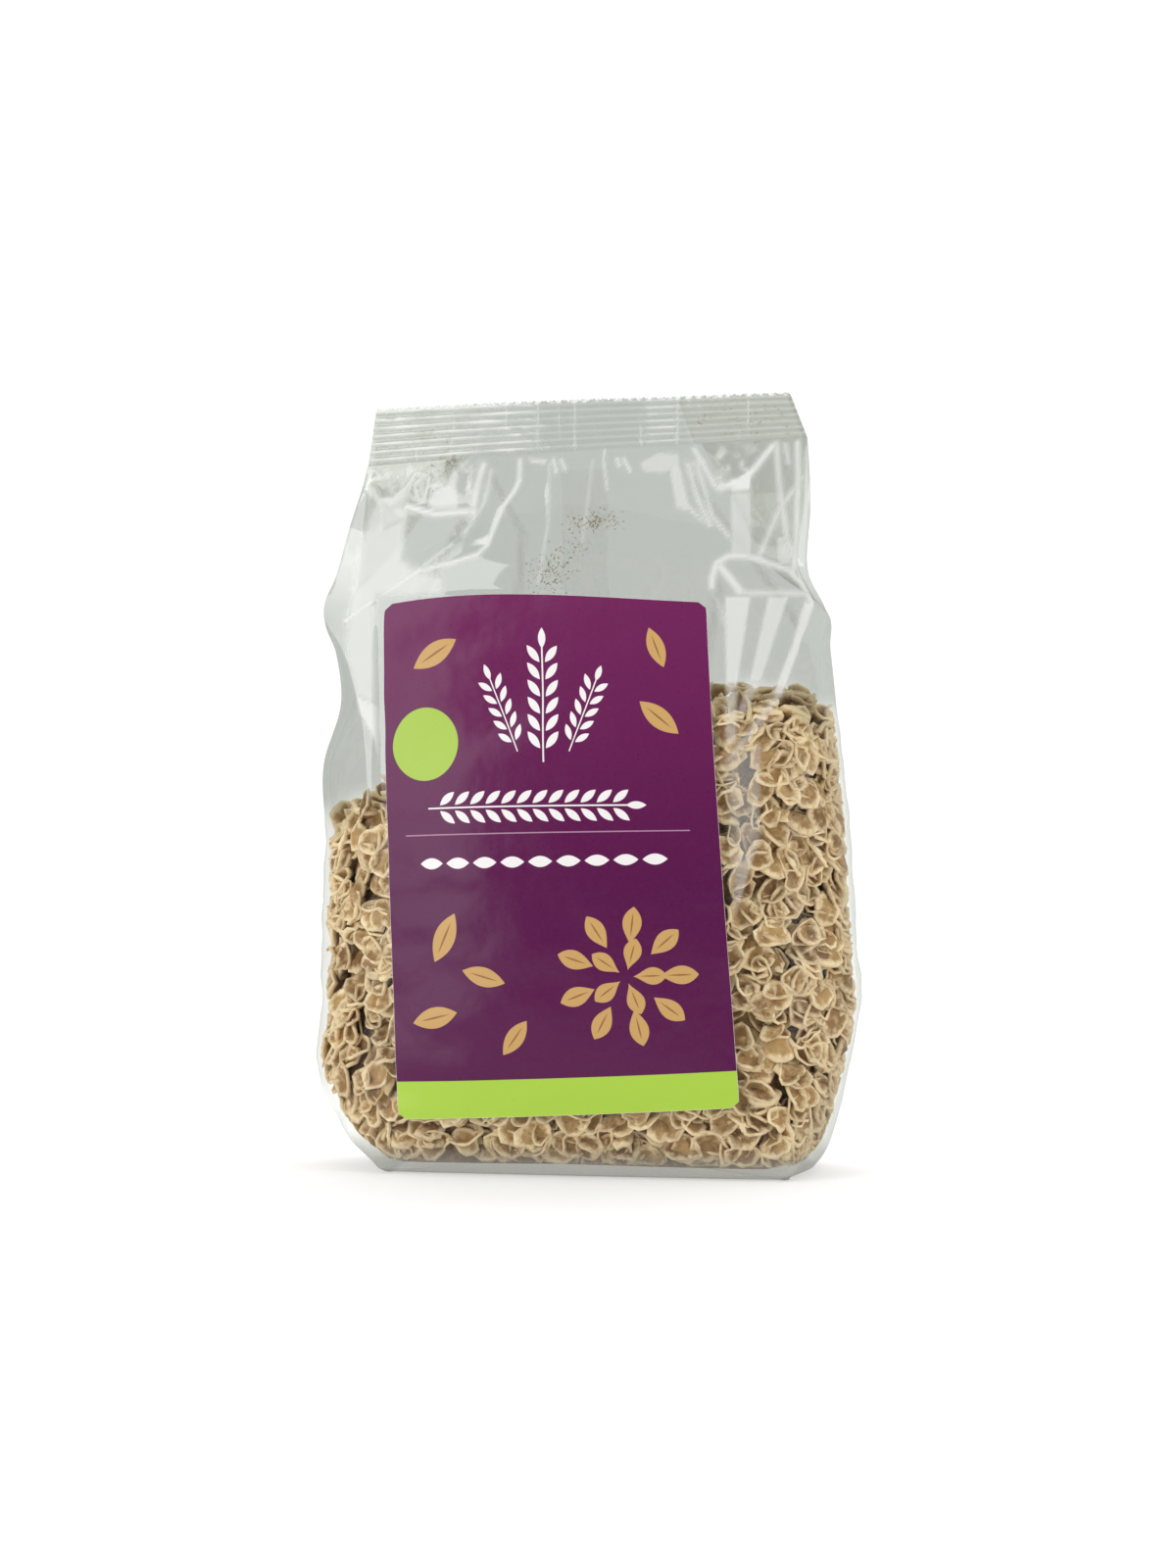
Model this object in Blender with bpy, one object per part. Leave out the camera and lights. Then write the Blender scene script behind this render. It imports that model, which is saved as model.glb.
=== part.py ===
"""Clear film bag of rolled oat flakes, with a paper label on its front.

A tube of clear film with a gusset down each side is sealed flat along its top, and
stands on its squared base. The lower three fifths are filled out by the flakes. The
front faces -Y, +Z is up, and sizes are in metres.
"""
import bmesh
import bpy
import numpy as np

MM = 0.001

# The levels of the bag, bottom to top, in millimetres. Each row gives the height, how
# far the left and right corner folds stand from the middle, the half depth at the corner
# folds and at the crown of a panel, and how far the left and right gussets swell out past
# the corner folds, or tuck in between the panels where the number is below nought.
LEVELS_MM = (
    (0.0, 55.0, 62.0, 28.0, 29.0, 2.0, 3.0),
    (6.0, 58.0, 63.0, 29.5, 33.0, 10.0, 6.0),
    (16.0, 59.0, 62.0, 29.0, 36.0, 16.0, 10.0),
    (28.0, 60.5, 61.0, 28.0, 38.0, 20.0, 14.0),
    (45.0, 60.0, 60.0, 26.5, 39.0, 19.5, 18.5),
    (70.0, 60.0, 60.0, 26.0, 39.0, 19.5, 17.5),
    (95.0, 60.0, 60.0, 25.0, 37.5, 18.5, 16.0),
    (118.0, 61.0, 61.0, 24.0, 34.5, 18.5, 13.0),
    (136.0, 64.0, 62.5, 22.5, 30.0, 10.0, 9.5),
    (150.0, 69.0, 64.5, 19.5, 27.5, 6.0, 6.0),
    (160.0, 75.0, 68.0, 16.5, 24.5, 2.5, 2.0),
    (172.0, 72.5, 63.0, 12.0, 19.5, -5.0, -6.0),
    (190.0, 70.0, 64.2, 6.0, 9.5, -9.0, -9.0),
    (204.0, 67.8, 64.2, 1.4, 1.7, -1.0, -1.0),
)
PANEL_FULLNESS = 2.2
TUCK_SHARPNESS = 1.2

# Mesh steps round the bag and up it
PANEL_COLUMNS = 30
GUSSET_COLUMNS = 12
ROW_STEP = 0.0055

# Rounding of the bottom edge
BASE_ROUNDING = 0.003
BASE_ROUNDING_ROWS = 3

# Film seam folded flat down the middle of the back, as shares of the panel's half width
FIN_EDGE = 0.105
FIN_FOOT = 0.125
FIN_THICKNESS = 0.0009
FIN_START = 0.006

# Flat top seal, pressed into ribs, with a saw-cut top edge. It runs up a little to the
# right. Each pair is for its left and right ends: heights of the foot and of the top
# edge, and how far the top edge stands from the middle.
SEAL_FOOT = (0.2064, 0.2107)
SEAL_TOP = (0.2238, 0.2240)
SEAL_TOP_REACH = (0.0653, 0.0606)
SEAL_HALF_THICKNESS = 0.0009
SEAL_RIBS = 7
RIB_HEIGHT = 0.00045
TEETH_PER_COLUMN = 3
TOOTH_DEPTH = 0.0006
TOOTH_BAND = 0.0012

# Lumps where the film lies on the flakes
LUMP_HEIGHT = 0.0007
LUMP_START = 0.010
LUMP_END = 0.128
LUMP_FADE = 0.010
LUMP_TURNS = 19.0
LUMP_PITCH = 390.0
LUMP_DRIFT = ((1.9, 75.0), (1.5, 5.0))

# Creases in the slack film above the flakes: the two ends of each, as shares of the
# panel's half width and heights, then how far it stands out and how wide it is.
FRONT_CREASES = (
    ((-0.97, 0.163), (-0.52, 0.186), 0.0022, 0.0045),
    ((-0.50, 0.180), (-0.22, 0.200), 0.0016, 0.0040),
    ((0.93, 0.166), (0.40, 0.184), 0.0022, 0.0045),
    ((0.42, 0.196), (0.72, 0.170), 0.0016, 0.0040),
)
BACK_CREASES = (
    ((-0.95, 0.165), (-0.45, 0.188), 0.0020, 0.0045),
    ((0.92, 0.160), (0.42, 0.187), 0.0022, 0.0045),
    ((0.35, 0.195), (0.70, 0.160), 0.0014, 0.0040),
)

# Paper label, stuck on slightly turned: its corners as x and height, and how far the
# middle of its top edge rises where the bulging film carries it, most left of centre
LABEL_WIDTH = 0.0955
LABEL_HEIGHT = 0.1437
LABEL_FOOT_LEFT = (-0.0484, 0.0157)
LABEL_FOOT_RIGHT = (0.0484, 0.0206)
LABEL_HEAD_LEFT = (-0.0560, 0.1623)
LABEL_HEAD_RIGHT = (0.0379, 0.1613)
LABEL_ARCH = 0.00245
LABEL_ARCH_LEAN = 0.65
LABEL_CORNER = 0.0024
LABEL_THICKNESS = 0.0003
LABEL_GAP = 0.0003
LABEL_COLUMNS = 16
LABEL_ROWS = 22
LABEL_CORNER_ROWS = 4
LABEL_MARGIN = 0.003
LABEL_MARGIN_FADE = 0.006

# Finishes: colour, roughness, and how much shows through
FILM_FINISH = ((0.80, 0.82, 0.79), 0.12, 0.45)
LABEL_FINISH = ((0.118, 0.022, 0.080), 0.35, 1.0)


def clear_scene():
    """Remove every object, so that the model starts from nothing."""
    for old in list(bpy.data.objects):
        bpy.data.objects.remove(old, do_unlink=True)


def smooth_step(value, low, high):
    """A ramp from 0 at low to 1 at high, level at both ends."""
    share = np.clip((value - low) / (high - low), 0.0, 1.0)
    return share * share * (3.0 - 2.0 * share)


def level_at(height):
    """The bag's measures at one height, on smooth curves through the levels."""
    table = np.array(LEVELS_MM) * MM
    heights = table[:, 0]
    slopes = np.gradient(table, heights, axis=0)
    low = int(np.clip(np.searchsorted(heights, height) - 1, 0, len(heights) - 2))
    span = heights[low + 1] - heights[low]
    t = (height - heights[low]) / span
    start = (1.0 + 2.0 * t) * (1.0 - t) ** 2 * table[low]
    start_slope = t * (1.0 - t) ** 2 * span * slopes[low]
    end = t * t * (3.0 - 2.0 * t) * table[low + 1]
    end_slope = t * t * (t - 1.0) * span * slopes[low + 1]
    return (start + start_slope + end + end_slope)[1:]


def panel_depth(share, corner_depth, crown_depth):
    """Half depth of the front or back panel, at a share of its half width."""
    crown = 1.0 - np.abs(share) ** PANEL_FULLNESS
    return corner_depth + (crown_depth - corner_depth) * crown


def gusset_reach(share, swell):
    """How far a gusset stands past the corner folds, front fold to back fold."""
    if swell < 0.0:
        return swell * (1.0 - abs(share)) ** TUCK_SHARPNESS
    return swell * (1.0 - share * share)


def front_surface(x, height):
    """The y of the front panel, without lumps or creases, at an x and a height."""
    left, right, corner_depth, crown_depth = level_at(height)[:4]
    share = (x - 0.5 * (right - left)) / (0.5 * (right + left))
    return -panel_depth(share, corner_depth, crown_depth)


def line_at(value, start, end):
    """The second number on a straight line between two pairs, where the first is value."""
    return start[1] + (value - start[0]) / (end[0] - start[0]) * (end[1] - start[1])


def label_cover(x, height):
    """1 under the label and its margin, and 0 away from it."""
    left = line_at(height, LABEL_FOOT_LEFT[::-1], LABEL_HEAD_LEFT[::-1])
    right = line_at(height, LABEL_FOOT_RIGHT[::-1], LABEL_HEAD_RIGHT[::-1])
    foot = line_at(x, LABEL_FOOT_LEFT, LABEL_FOOT_RIGHT)
    head = line_at(x, LABEL_HEAD_LEFT, LABEL_HEAD_RIGHT)
    outside = max(left - x, x - right, foot - height, height - head) - LABEL_MARGIN
    return 1.0 - smooth_step(outside, 0.0, LABEL_MARGIN_FADE)


def lump(angle, height):
    """Relief of the flakes under taut film, at an angle round the bag and a height."""
    (turn_drift, turn_rate), (pitch_drift, pitch_rate) = LUMP_DRIFT
    round_the_bag = np.sin(LUMP_TURNS * angle + turn_drift * np.sin(turn_rate * height))
    up_the_bag = np.sin(LUMP_PITCH * height + pitch_drift * np.sin(pitch_rate * angle))
    rise = smooth_step(height, LUMP_START, LUMP_START + LUMP_FADE)
    fall = 1.0 - smooth_step(height, LUMP_END - LUMP_FADE, LUMP_END)
    return LUMP_HEIGHT * rise * fall * round_the_bag * up_the_bag


def crease(share, height, half_width, creases):
    """How far the slack film stands out at the creases."""
    rise = 0.0
    point = np.array((share * half_width, height))
    for start, end, crest, width in creases:
        a = np.array((start[0] * half_width, start[1]))
        b = np.array((end[0] * half_width, end[1]))
        along = np.clip(np.dot(point - a, b - a) / np.dot(b - a, b - a), 0.0, 1.0)
        gap = np.linalg.norm(point - a - along * (b - a))
        rise += crest * np.exp(-(gap / width) ** 2)
    return rise


def panel_shares():
    """Steps across a panel, from its left corner fold to just short of the right one."""
    return np.linspace(-1.0, 1.0, PANEL_COLUMNS + 1)[:-1]


def back_shares():
    """Steps across the back, left to right, moved on to the edges of the fin seam."""
    shares = list(panel_shares())
    for target in (-FIN_FOOT, -FIN_EDGE, FIN_EDGE, FIN_FOOT):
        shares[int(np.argmin([abs(share - target) for share in shares]))] = target
    return sorted(shares)


def fin_rise(share, height):
    """Thickness of the fin seam on the back panel."""
    flat = 1.0 - smooth_step(abs(share), FIN_EDGE, FIN_FOOT)
    return FIN_THICKNESS * flat * smooth_step(height, FIN_START, 2.0 * FIN_START)


def ring(height, inset=0.0):
    """One level loop of the bag's skin, anticlockwise seen from above."""
    left, right, corner_depth, crown_depth, swell_left, swell_right = level_at(height)
    middle = 0.5 * (right - left)
    half_width = 0.5 * (right + left)
    points = []
    for share in panel_shares():
        x = middle + share * half_width
        bare = 1.0 - label_cover(x, height)
        y = -panel_depth(share, corner_depth, crown_depth)
        out = bare * (lump(np.arctan2(y, x), height) + crease(share, height, half_width, FRONT_CREASES))
        points.append((x, y - out))
    for share in np.linspace(-1.0, 1.0, GUSSET_COLUMNS + 1)[:-1]:
        y = share * corner_depth
        x = right + gusset_reach(share, swell_right)
        points.append((x + lump(np.arctan2(y, x), height), y))
    for share in [1.0] + back_shares()[:0:-1]:
        x = middle + share * half_width
        y = panel_depth(share, corner_depth, crown_depth)
        out = lump(np.arctan2(y, x), height) + crease(share, height, half_width, BACK_CREASES)
        points.append((x, y + out + fin_rise(share, height)))
    for share in np.linspace(1.0, -1.0, GUSSET_COLUMNS + 1)[:-1]:
        y = share * corner_depth
        x = -left - gusset_reach(share, swell_left)
        points.append((x - lump(np.arctan2(y, x), height), y))
    flat = np.array(points)
    reach = np.abs(flat).max(axis=0)
    return flat * (1.0 - inset / reach)


def add_ring(mesh, flat, height):
    """Add a loop of vertices at one height."""
    return [mesh.verts.new((x, y, height)) for x, y in flat]


def join_rings(mesh, low, high):
    """Close the band between two loops of the same count."""
    count = len(low)
    for i in range(count):
        j = (i + 1) % count
        mesh.faces.new((low[i], low[j], high[j], high[i]))


def seal_frame(rise):
    """The left and right ends of the seal, at a share of its height."""
    foot = level_at(LEVELS_MM[-1][0] * MM)
    left = -foot[0] + rise * (foot[0] - SEAL_TOP_REACH[0])
    right = foot[1] + rise * (SEAL_TOP_REACH[1] - foot[1])
    return left, right


def between(ends, share):
    """A value between those of the left and right ends, at a share from -1 to 1."""
    return ends[0] + 0.5 * (share + 1.0) * (ends[1] - ends[0])


def seal_height(rise, share):
    """Height of one of the seal's lines, at a share of its height and across the bag."""
    foot = between(SEAL_FOOT, share)
    top = between(SEAL_TOP, share) - TOOTH_BAND
    return foot + rise * (top - foot)


def add_seal_ring(mesh, rise, half_thickness):
    """One loop round the seal: the front, one point on the end, the back, the other end."""
    left, right = seal_frame(rise)
    loop = []
    front_shares = list(panel_shares()) + [1.0]
    for y, shares in ((-half_thickness, front_shares), (half_thickness, [1.0] + back_shares()[::-1])):
        for share in shares:
            x = left + 0.5 * (share + 1.0) * (right - left)
            loop.append(mesh.verts.new((x, y, seal_height(rise, share))))
        end = loop[-1].co
        loop.append(mesh.verts.new((end.x, 0.0, end.z)))
    return loop


def join_body_to_seal(mesh, body, seal):
    """Close the band where the open bag meets the seal, fanning each gusset to its end."""
    across = PANEL_COLUMNS
    half = across + GUSSET_COLUMNS
    side = across + 2
    for first, ring_start in ((0, 0), (side, half)):
        for i in range(across):
            low = (body[ring_start + i], body[(ring_start + i + 1) % len(body)])
            mesh.faces.new((low[0], low[1], seal[first + i + 1], seal[first + i]))
        corner = seal[first + across]
        end = seal[first + across + 1]
        far = seal[(first + across + 2) % len(seal)]
        folds = [body[(ring_start + across + i) % len(body)] for i in range(GUSSET_COLUMNS + 1)]
        mesh.faces.new((folds[0], folds[1], corner))
        mesh.faces.new((folds[1], end, corner))
        for near, after in zip(folds[1:-2], folds[2:-1]):
            mesh.faces.new((near, after, end))
        mesh.faces.new((folds[-2], far, end))
        mesh.faces.new((folds[-2], folds[-1], far))


def add_saw_edge(mesh, loop):
    """Close the seal's top with a saw-cut edge over its last loop."""
    across = PANEL_COLUMNS
    front = loop[:across + 1]
    back = loop[across + 2:2 * across + 3]
    back_edge = back[::-1]
    crest_front = []
    crest_back = []
    for i in range(across):
        for tooth in range(2 * TEETH_PER_COLUMN):
            share = tooth / (2.0 * TEETH_PER_COLUMN)
            rise = TOOTH_BAND - TOOTH_DEPTH * (1 - tooth % 2)
            for edge, crest in ((front, crest_front), (back_edge, crest_back)):
                place = edge[i].co.lerp(edge[i + 1].co, share)
                crest.append(mesh.verts.new((place.x, place.y, place.z + rise)))
    for edge, crest in ((front, crest_front), (back_edge, crest_back)):
        place = edge[-1].co
        crest.append(mesh.verts.new((place.x, place.y, place.z + TOOTH_BAND - TOOTH_DEPTH)))
    step = 2 * TEETH_PER_COLUMN
    for i in range(across):
        teeth = crest_front[i * step:(i + 1) * step + 1]
        mesh.faces.new([front[i], front[i + 1]] + teeth[::-1])
        teeth = crest_back[i * step:(i + 1) * step + 1]
        mesh.faces.new([back[across - 1 - i], back[across - i]] + teeth)
    for i in range(len(crest_front) - 1):
        mesh.faces.new((crest_front[i], crest_front[i + 1], crest_back[i + 1], crest_back[i]))
    mesh.faces.new((front[-1], loop[across + 1], back[0], crest_back[-1], crest_front[-1]))
    mesh.faces.new((back[-1], loop[-1], front[0], crest_front[0], crest_back[0]))


def build_bag():
    """The filled bag as one closed solid, from its flat base to the saw-cut seal."""
    mesh = bmesh.new()
    loops = []
    for i in range(BASE_ROUNDING_ROWS + 1):
        angle = 0.5 * np.pi * i / BASE_ROUNDING_ROWS
        height = BASE_ROUNDING * (1.0 - np.cos(angle))
        loops.append(add_ring(mesh, ring(height, BASE_ROUNDING * (1.0 - np.sin(angle))), height))
    top = LEVELS_MM[-1][0] * MM
    rows = int(round((top - BASE_ROUNDING) / ROW_STEP))
    for height in np.linspace(BASE_ROUNDING, top, rows + 1)[1:]:
        loops.append(add_ring(mesh, ring(height), height))
    mesh.faces.new(loops[0][::-1])
    for low, high in zip(loops[:-1], loops[1:]):
        join_rings(mesh, low, high)

    seal_loops = []
    for i in range(2 * SEAL_RIBS + 1):
        ribbed = RIB_HEIGHT if i % 2 else 0.0
        seal_loops.append(add_seal_ring(mesh, i / (2.0 * SEAL_RIBS), SEAL_HALF_THICKNESS + ribbed))
    join_body_to_seal(mesh, loops[-1], seal_loops[0])
    for low, high in zip(seal_loops[:-1], seal_loops[1:]):
        join_rings(mesh, low, high)
    add_saw_edge(mesh, seal_loops[-1])
    return make_object("film_bag", mesh, FILM_FINISH)


def label_rows():
    """Steps up the label, each with its half width, narrower in the rounded corners."""
    half_height = 0.5 * LABEL_HEIGHT
    half_width = 0.5 * LABEL_WIDTH
    straight = half_height - LABEL_CORNER
    rows = []
    for i in range(LABEL_CORNER_ROWS):
        angle = 0.5 * np.pi * i / LABEL_CORNER_ROWS
        rows.append((-straight - LABEL_CORNER * np.cos(angle), half_width - LABEL_CORNER * (1.0 - np.sin(angle))))
    for along in np.linspace(-straight, straight, LABEL_ROWS + 1):
        rows.append((along, half_width))
    rows += [(-along, width) for along, width in rows[LABEL_CORNER_ROWS - 1::-1]]
    return rows


def label_point(across, along):
    """The x and height of a point of the label, from its place on the flat paper."""
    u = 2.0 * across / LABEL_WIDTH
    v = 2.0 * along / LABEL_HEIGHT
    foot = [between(ends, u) for ends in zip(LABEL_FOOT_LEFT, LABEL_FOOT_RIGHT)]
    head = [between(ends, u) for ends in zip(LABEL_HEAD_LEFT, LABEL_HEAD_RIGHT)]
    x, z = [between(ends, v) for ends in zip(foot, head)]
    arch = LABEL_ARCH * (1.0 - u * u) * (1.0 - LABEL_ARCH_LEAN * u)
    return x, z + arch * max(v, 0.0)


def build_label():
    """The paper label, a thin sheet on the front of the bag."""
    mesh = bmesh.new()
    sheets = []
    for lift in (LABEL_GAP, LABEL_GAP + LABEL_THICKNESS):
        grid = []
        for along, half_width in label_rows():
            row = []
            for across in np.linspace(-half_width, half_width, LABEL_COLUMNS + 1):
                x, z = label_point(across, along)
                row.append(mesh.verts.new((x, front_surface(x, z) - lift, z)))
            grid.append(row)
        sheets.append(grid)
    for grid in sheets:
        for low, high in zip(grid[:-1], grid[1:]):
            for i in range(LABEL_COLUMNS):
                mesh.faces.new((low[i], low[i + 1], high[i + 1], high[i]))
    inner_rim, outer_rim = [label_rim(grid) for grid in sheets]
    join_rings(mesh, inner_rim, outer_rim)
    return make_object("front_label", mesh, LABEL_FINISH)


def label_rim(grid):
    """The loop of vertices round the edge of one sheet."""
    right = [row[-1] for row in grid]
    left = [row[0] for row in grid]
    return grid[0][:-1] + right[:-1] + grid[-1][:0:-1] + left[:0:-1]


def make_object(name, mesh, finish):
    """Turn a mesh into a named object with its own material."""
    bmesh.ops.recalc_face_normals(mesh, faces=mesh.faces)
    data = bpy.data.meshes.new(name)
    mesh.to_mesh(data)
    mesh.free()
    data.materials.append(make_material(name, finish))
    data.shade_smooth()
    data.set_sharp_from_angle(angle=np.radians(40.0))
    piece = bpy.data.objects.new(name, data)
    bpy.context.scene.collection.objects.link(piece)
    return piece


def make_material(name, finish):
    """A Principled material from a colour, a roughness and a share of alpha."""
    colour, roughness, alpha = finish
    material = bpy.data.materials.new(name)
    material.use_nodes = True
    shader = material.node_tree.nodes["Principled BSDF"]
    shader.inputs["Base Color"].default_value = (*colour, 1.0)
    shader.inputs["Roughness"].default_value = roughness
    shader.inputs["Metallic"].default_value = 0.0
    shader.inputs["Alpha"].default_value = alpha
    return material


def centre_over_origin(pieces):
    """Shift the pieces together, so that the origin is the middle of their base."""
    corners = np.array([vert.co for piece in pieces for vert in piece.data.vertices])
    middle = 0.5 * (corners.min(axis=0) + corners.max(axis=0))
    for piece in pieces:
        for vert in piece.data.vertices:
            vert.co.x -= middle[0]
            vert.co.y -= middle[1]


def main():
    clear_scene()
    centre_over_origin([build_bag(), build_label()])


main()
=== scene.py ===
# %% [markdown]
# # A clear bag of rolled oat flakes
#
# The real pack starts as a flat web of clear film. A machine folds it into a tube with a
# gusset down each side, seals the two edges together down the back, folds and seals the
# bottom square, fills the bag with flakes, and presses the top flat between ribbed jaws.
# This script makes the pack the same way: the film is one flat grid that is wrapped into
# the bag's form, the flakes are one flake copied thousands of times, and the paper label
# is a thin sheet laid on the front.
#
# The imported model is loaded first, as a fixed frame. The two solids in it, the bag and its
# label, say how large everything is and where it stands.

import math

import bpy
import numpy as np
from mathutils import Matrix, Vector
from mathutils.geometry import delaunay_2d_cdt
from mathutils.noise import noise


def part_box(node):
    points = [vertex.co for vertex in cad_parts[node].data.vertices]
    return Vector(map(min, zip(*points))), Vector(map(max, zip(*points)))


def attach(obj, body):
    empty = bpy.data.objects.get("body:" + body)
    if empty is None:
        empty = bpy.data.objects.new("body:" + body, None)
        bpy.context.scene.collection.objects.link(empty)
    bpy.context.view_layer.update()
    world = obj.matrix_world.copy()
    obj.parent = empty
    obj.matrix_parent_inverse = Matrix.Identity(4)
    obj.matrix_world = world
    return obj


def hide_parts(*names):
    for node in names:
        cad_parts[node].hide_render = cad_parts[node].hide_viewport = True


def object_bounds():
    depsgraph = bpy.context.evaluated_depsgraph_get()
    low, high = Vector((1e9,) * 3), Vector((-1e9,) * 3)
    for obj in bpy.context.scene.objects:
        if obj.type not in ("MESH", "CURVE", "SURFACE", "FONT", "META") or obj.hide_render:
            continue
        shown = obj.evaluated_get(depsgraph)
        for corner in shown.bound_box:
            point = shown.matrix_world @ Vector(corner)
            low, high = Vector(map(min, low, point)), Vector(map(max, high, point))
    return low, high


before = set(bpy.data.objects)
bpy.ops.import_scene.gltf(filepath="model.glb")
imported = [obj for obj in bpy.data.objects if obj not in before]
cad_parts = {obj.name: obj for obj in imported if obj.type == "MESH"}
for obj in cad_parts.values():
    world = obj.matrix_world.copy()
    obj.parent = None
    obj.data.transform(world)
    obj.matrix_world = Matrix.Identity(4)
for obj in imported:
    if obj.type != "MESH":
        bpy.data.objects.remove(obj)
cad_low, cad_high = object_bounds()
print("bag and label fill", [round(1000 * side, 1) for side in cad_high - cad_low], "mm")

MM = 0.001

# %% [markdown]
# ## Camera
#
# The pack was photographed from just right of its front, a little above the table, with a
# long lens close enough for the near side to look larger. The camera comes first, because
# each later finish is judged in its view. It is aimed by turning its back axis towards
# the eye, which is what the track helper of a vector gives.

# %% Set up the camera
EYE_AZIMUTH = math.radians(10.5)
EYE_ELEVATION = math.radians(-1.6)
EYE_DISTANCE = 0.78
EYE_TARGET = Vector((0.001, 0.0, 0.1110))
VIEW_HEIGHT = 0.4576
SENSOR = 36.0

eye = Vector((
    math.sin(EYE_AZIMUTH) * math.cos(EYE_ELEVATION),
    -math.cos(EYE_AZIMUTH) * math.cos(EYE_ELEVATION),
    math.sin(EYE_ELEVATION),
))
camera_data = bpy.data.cameras.new("camera")
camera_data.sensor_width = SENSOR
camera_data.lens = SENSOR * EYE_DISTANCE / VIEW_HEIGHT
camera = bpy.data.objects.new("camera", camera_data)
camera.location = EYE_TARGET + eye * EYE_DISTANCE
camera.rotation_euler = eye.to_track_quat("Z", "Y").to_euler()
bpy.context.scene.collection.objects.link(camera)
bpy.context.scene.camera = camera
print("lens", round(camera_data.lens, 1), "mm")

# %% [markdown]
# ## The bag's measures
#
# The form of a filled bag can be told level by level: how far its four corner folds stand
# apart, how deep it is there and at the crown of its panels, and how far each side gusset
# swells out or tucks in. Smooth curves through a few levels give every height between.
# The flakes fill the levels up to about 130 mm, and above them the gussets fold further
# and further in, until they lie flat in the seal.

# %% Levels of the bag
# Each row: height, left and right corner fold, half depth at the folds and at the crown,
# left and right gusset swell, or tuck below nought, all in millimetres.
LEVELS_MM = np.array((
    (0.0, 55.0, 62.0, 28.0, 29.0, 2.0, 3.0),
    (6.0, 58.0, 63.0, 29.5, 33.0, 10.0, 6.0),
    (16.0, 59.0, 62.0, 29.0, 36.0, 16.0, 10.0),
    (28.0, 60.5, 61.0, 28.0, 38.0, 20.0, 14.0),
    (45.0, 60.0, 60.0, 26.5, 39.0, 19.5, 18.5),
    (70.0, 60.0, 60.0, 26.0, 39.0, 19.5, 17.5),
    (95.0, 60.0, 60.0, 25.0, 37.5, 18.5, 16.0),
    (118.0, 61.0, 61.0, 24.0, 34.5, 18.5, 13.0),
    (136.0, 64.0, 62.5, 22.5, 30.0, 10.0, 9.5),
    (150.0, 69.0, 64.5, 19.5, 27.5, 6.0, 6.0),
    (160.0, 75.0, 68.0, 16.5, 24.5, 2.5, 2.0),
    (172.0, 72.5, 63.0, 12.0, 19.5, -7.0, -8.0),
    (190.0, 70.0, 64.2, 6.0, 9.5, -21.0, -21.0),
    (204.0, 67.8, 64.2, 0.9, 1.3, -31.0, -31.0),
))
PANEL_FULLNESS = 2.2
PANEL_MM = 124.0
GUSSET_MM = 66.0
WEB_MM = 2.0 * (PANEL_MM + GUSSET_MM)
SEAL_FOOT_MM = (206.4, 210.7)
SEAL_TOP_MM = (223.8, 224.0)
SEAL_BEND_MM = 4.5
SEAL_RISE_START_MM = 178.0
SEAL_TOP_REACH_MM = (65.3, 59.4)
SEAL_TIP_MM = 5.0
BODY_TOP_MM = LEVELS_MM[-1][0]

# The label's corners as they lie on the front, each as x and height
LABEL_MM = (95.5, 143.7)
LABEL_FOOT_MM = ((-48.4, 15.7), (48.4, 20.6))
LABEL_HEAD_MM = ((-56.0, 162.3), (37.9, 161.3))

label_low, label_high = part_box("front_label")
bag_points = [v.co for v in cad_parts["film_bag"].data.vertices]
seal_y = [point.y for point in bag_points if point.z > cad_high.z - SEAL_TIP_MM * MM]
shift_mm = np.array((
    0.5 * ((label_low.x + label_high.x) / MM - LABEL_HEAD_MM[0][0] - LABEL_FOOT_MM[1][0]),
    0.5 * (min(seal_y) + max(seal_y)) / MM,
))
print("the bag's middle stands at", shift_mm.round(2), "mm")

# %% [markdown]
# Two numbers place a point of the film: its height, and how far it lies round the web from
# the middle of the back, by the left gusset. The smooth bag is a function of these two.

# %% Functions of the smooth bag
def smooth_step(value, low, high):
    """A ramp from 0 at low to 1 at high, level at both ends."""
    share = np.clip((value - low) / (high - low), 0.0, 1.0)
    return share * share * (3.0 - 2.0 * share)


def noise_at(*places):
    """Smooth noise, mostly between -1 and 1, at places given number by number."""
    return np.array([noise(Vector(place)) for place in np.broadcast(*places)])


def seal_bend(x):
    """How far back the seal bends at each place along it, most at its left end."""
    return SEAL_BEND_MM * smooth_step(-x, 16.0, 70.0) ** 1.2 - 0.4 * np.cos(0.13 * x)


def below_seal(height):
    """How far the film just below the seal follows it, from 0 to 1."""
    return smooth_step(height, SEAL_RISE_START_MM, BODY_TOP_MM)


def level_at(height):
    """The six measures of the bag at each height, on smooth curves through the levels."""
    rows = LEVELS_MM[:, 0]
    slopes = np.gradient(LEVELS_MM, rows, axis=0)
    low = np.clip(np.searchsorted(rows, height) - 1, 0, len(rows) - 2)
    span = rows[low + 1] - rows[low]
    t = np.clip((height - rows[low]) / span, 0.0, 1.0)[:, None]
    span = span[:, None]
    measures = (1.0 + 2.0 * t) * (1.0 - t) ** 2 * LEVELS_MM[low]
    measures += t * (1.0 - t) ** 2 * span * slopes[low]
    measures += t * t * (3.0 - 2.0 * t) * LEVELS_MM[low + 1]
    measures += t * t * (t - 1.0) * span * slopes[low + 1]
    return measures[:, 1:].T


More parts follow.
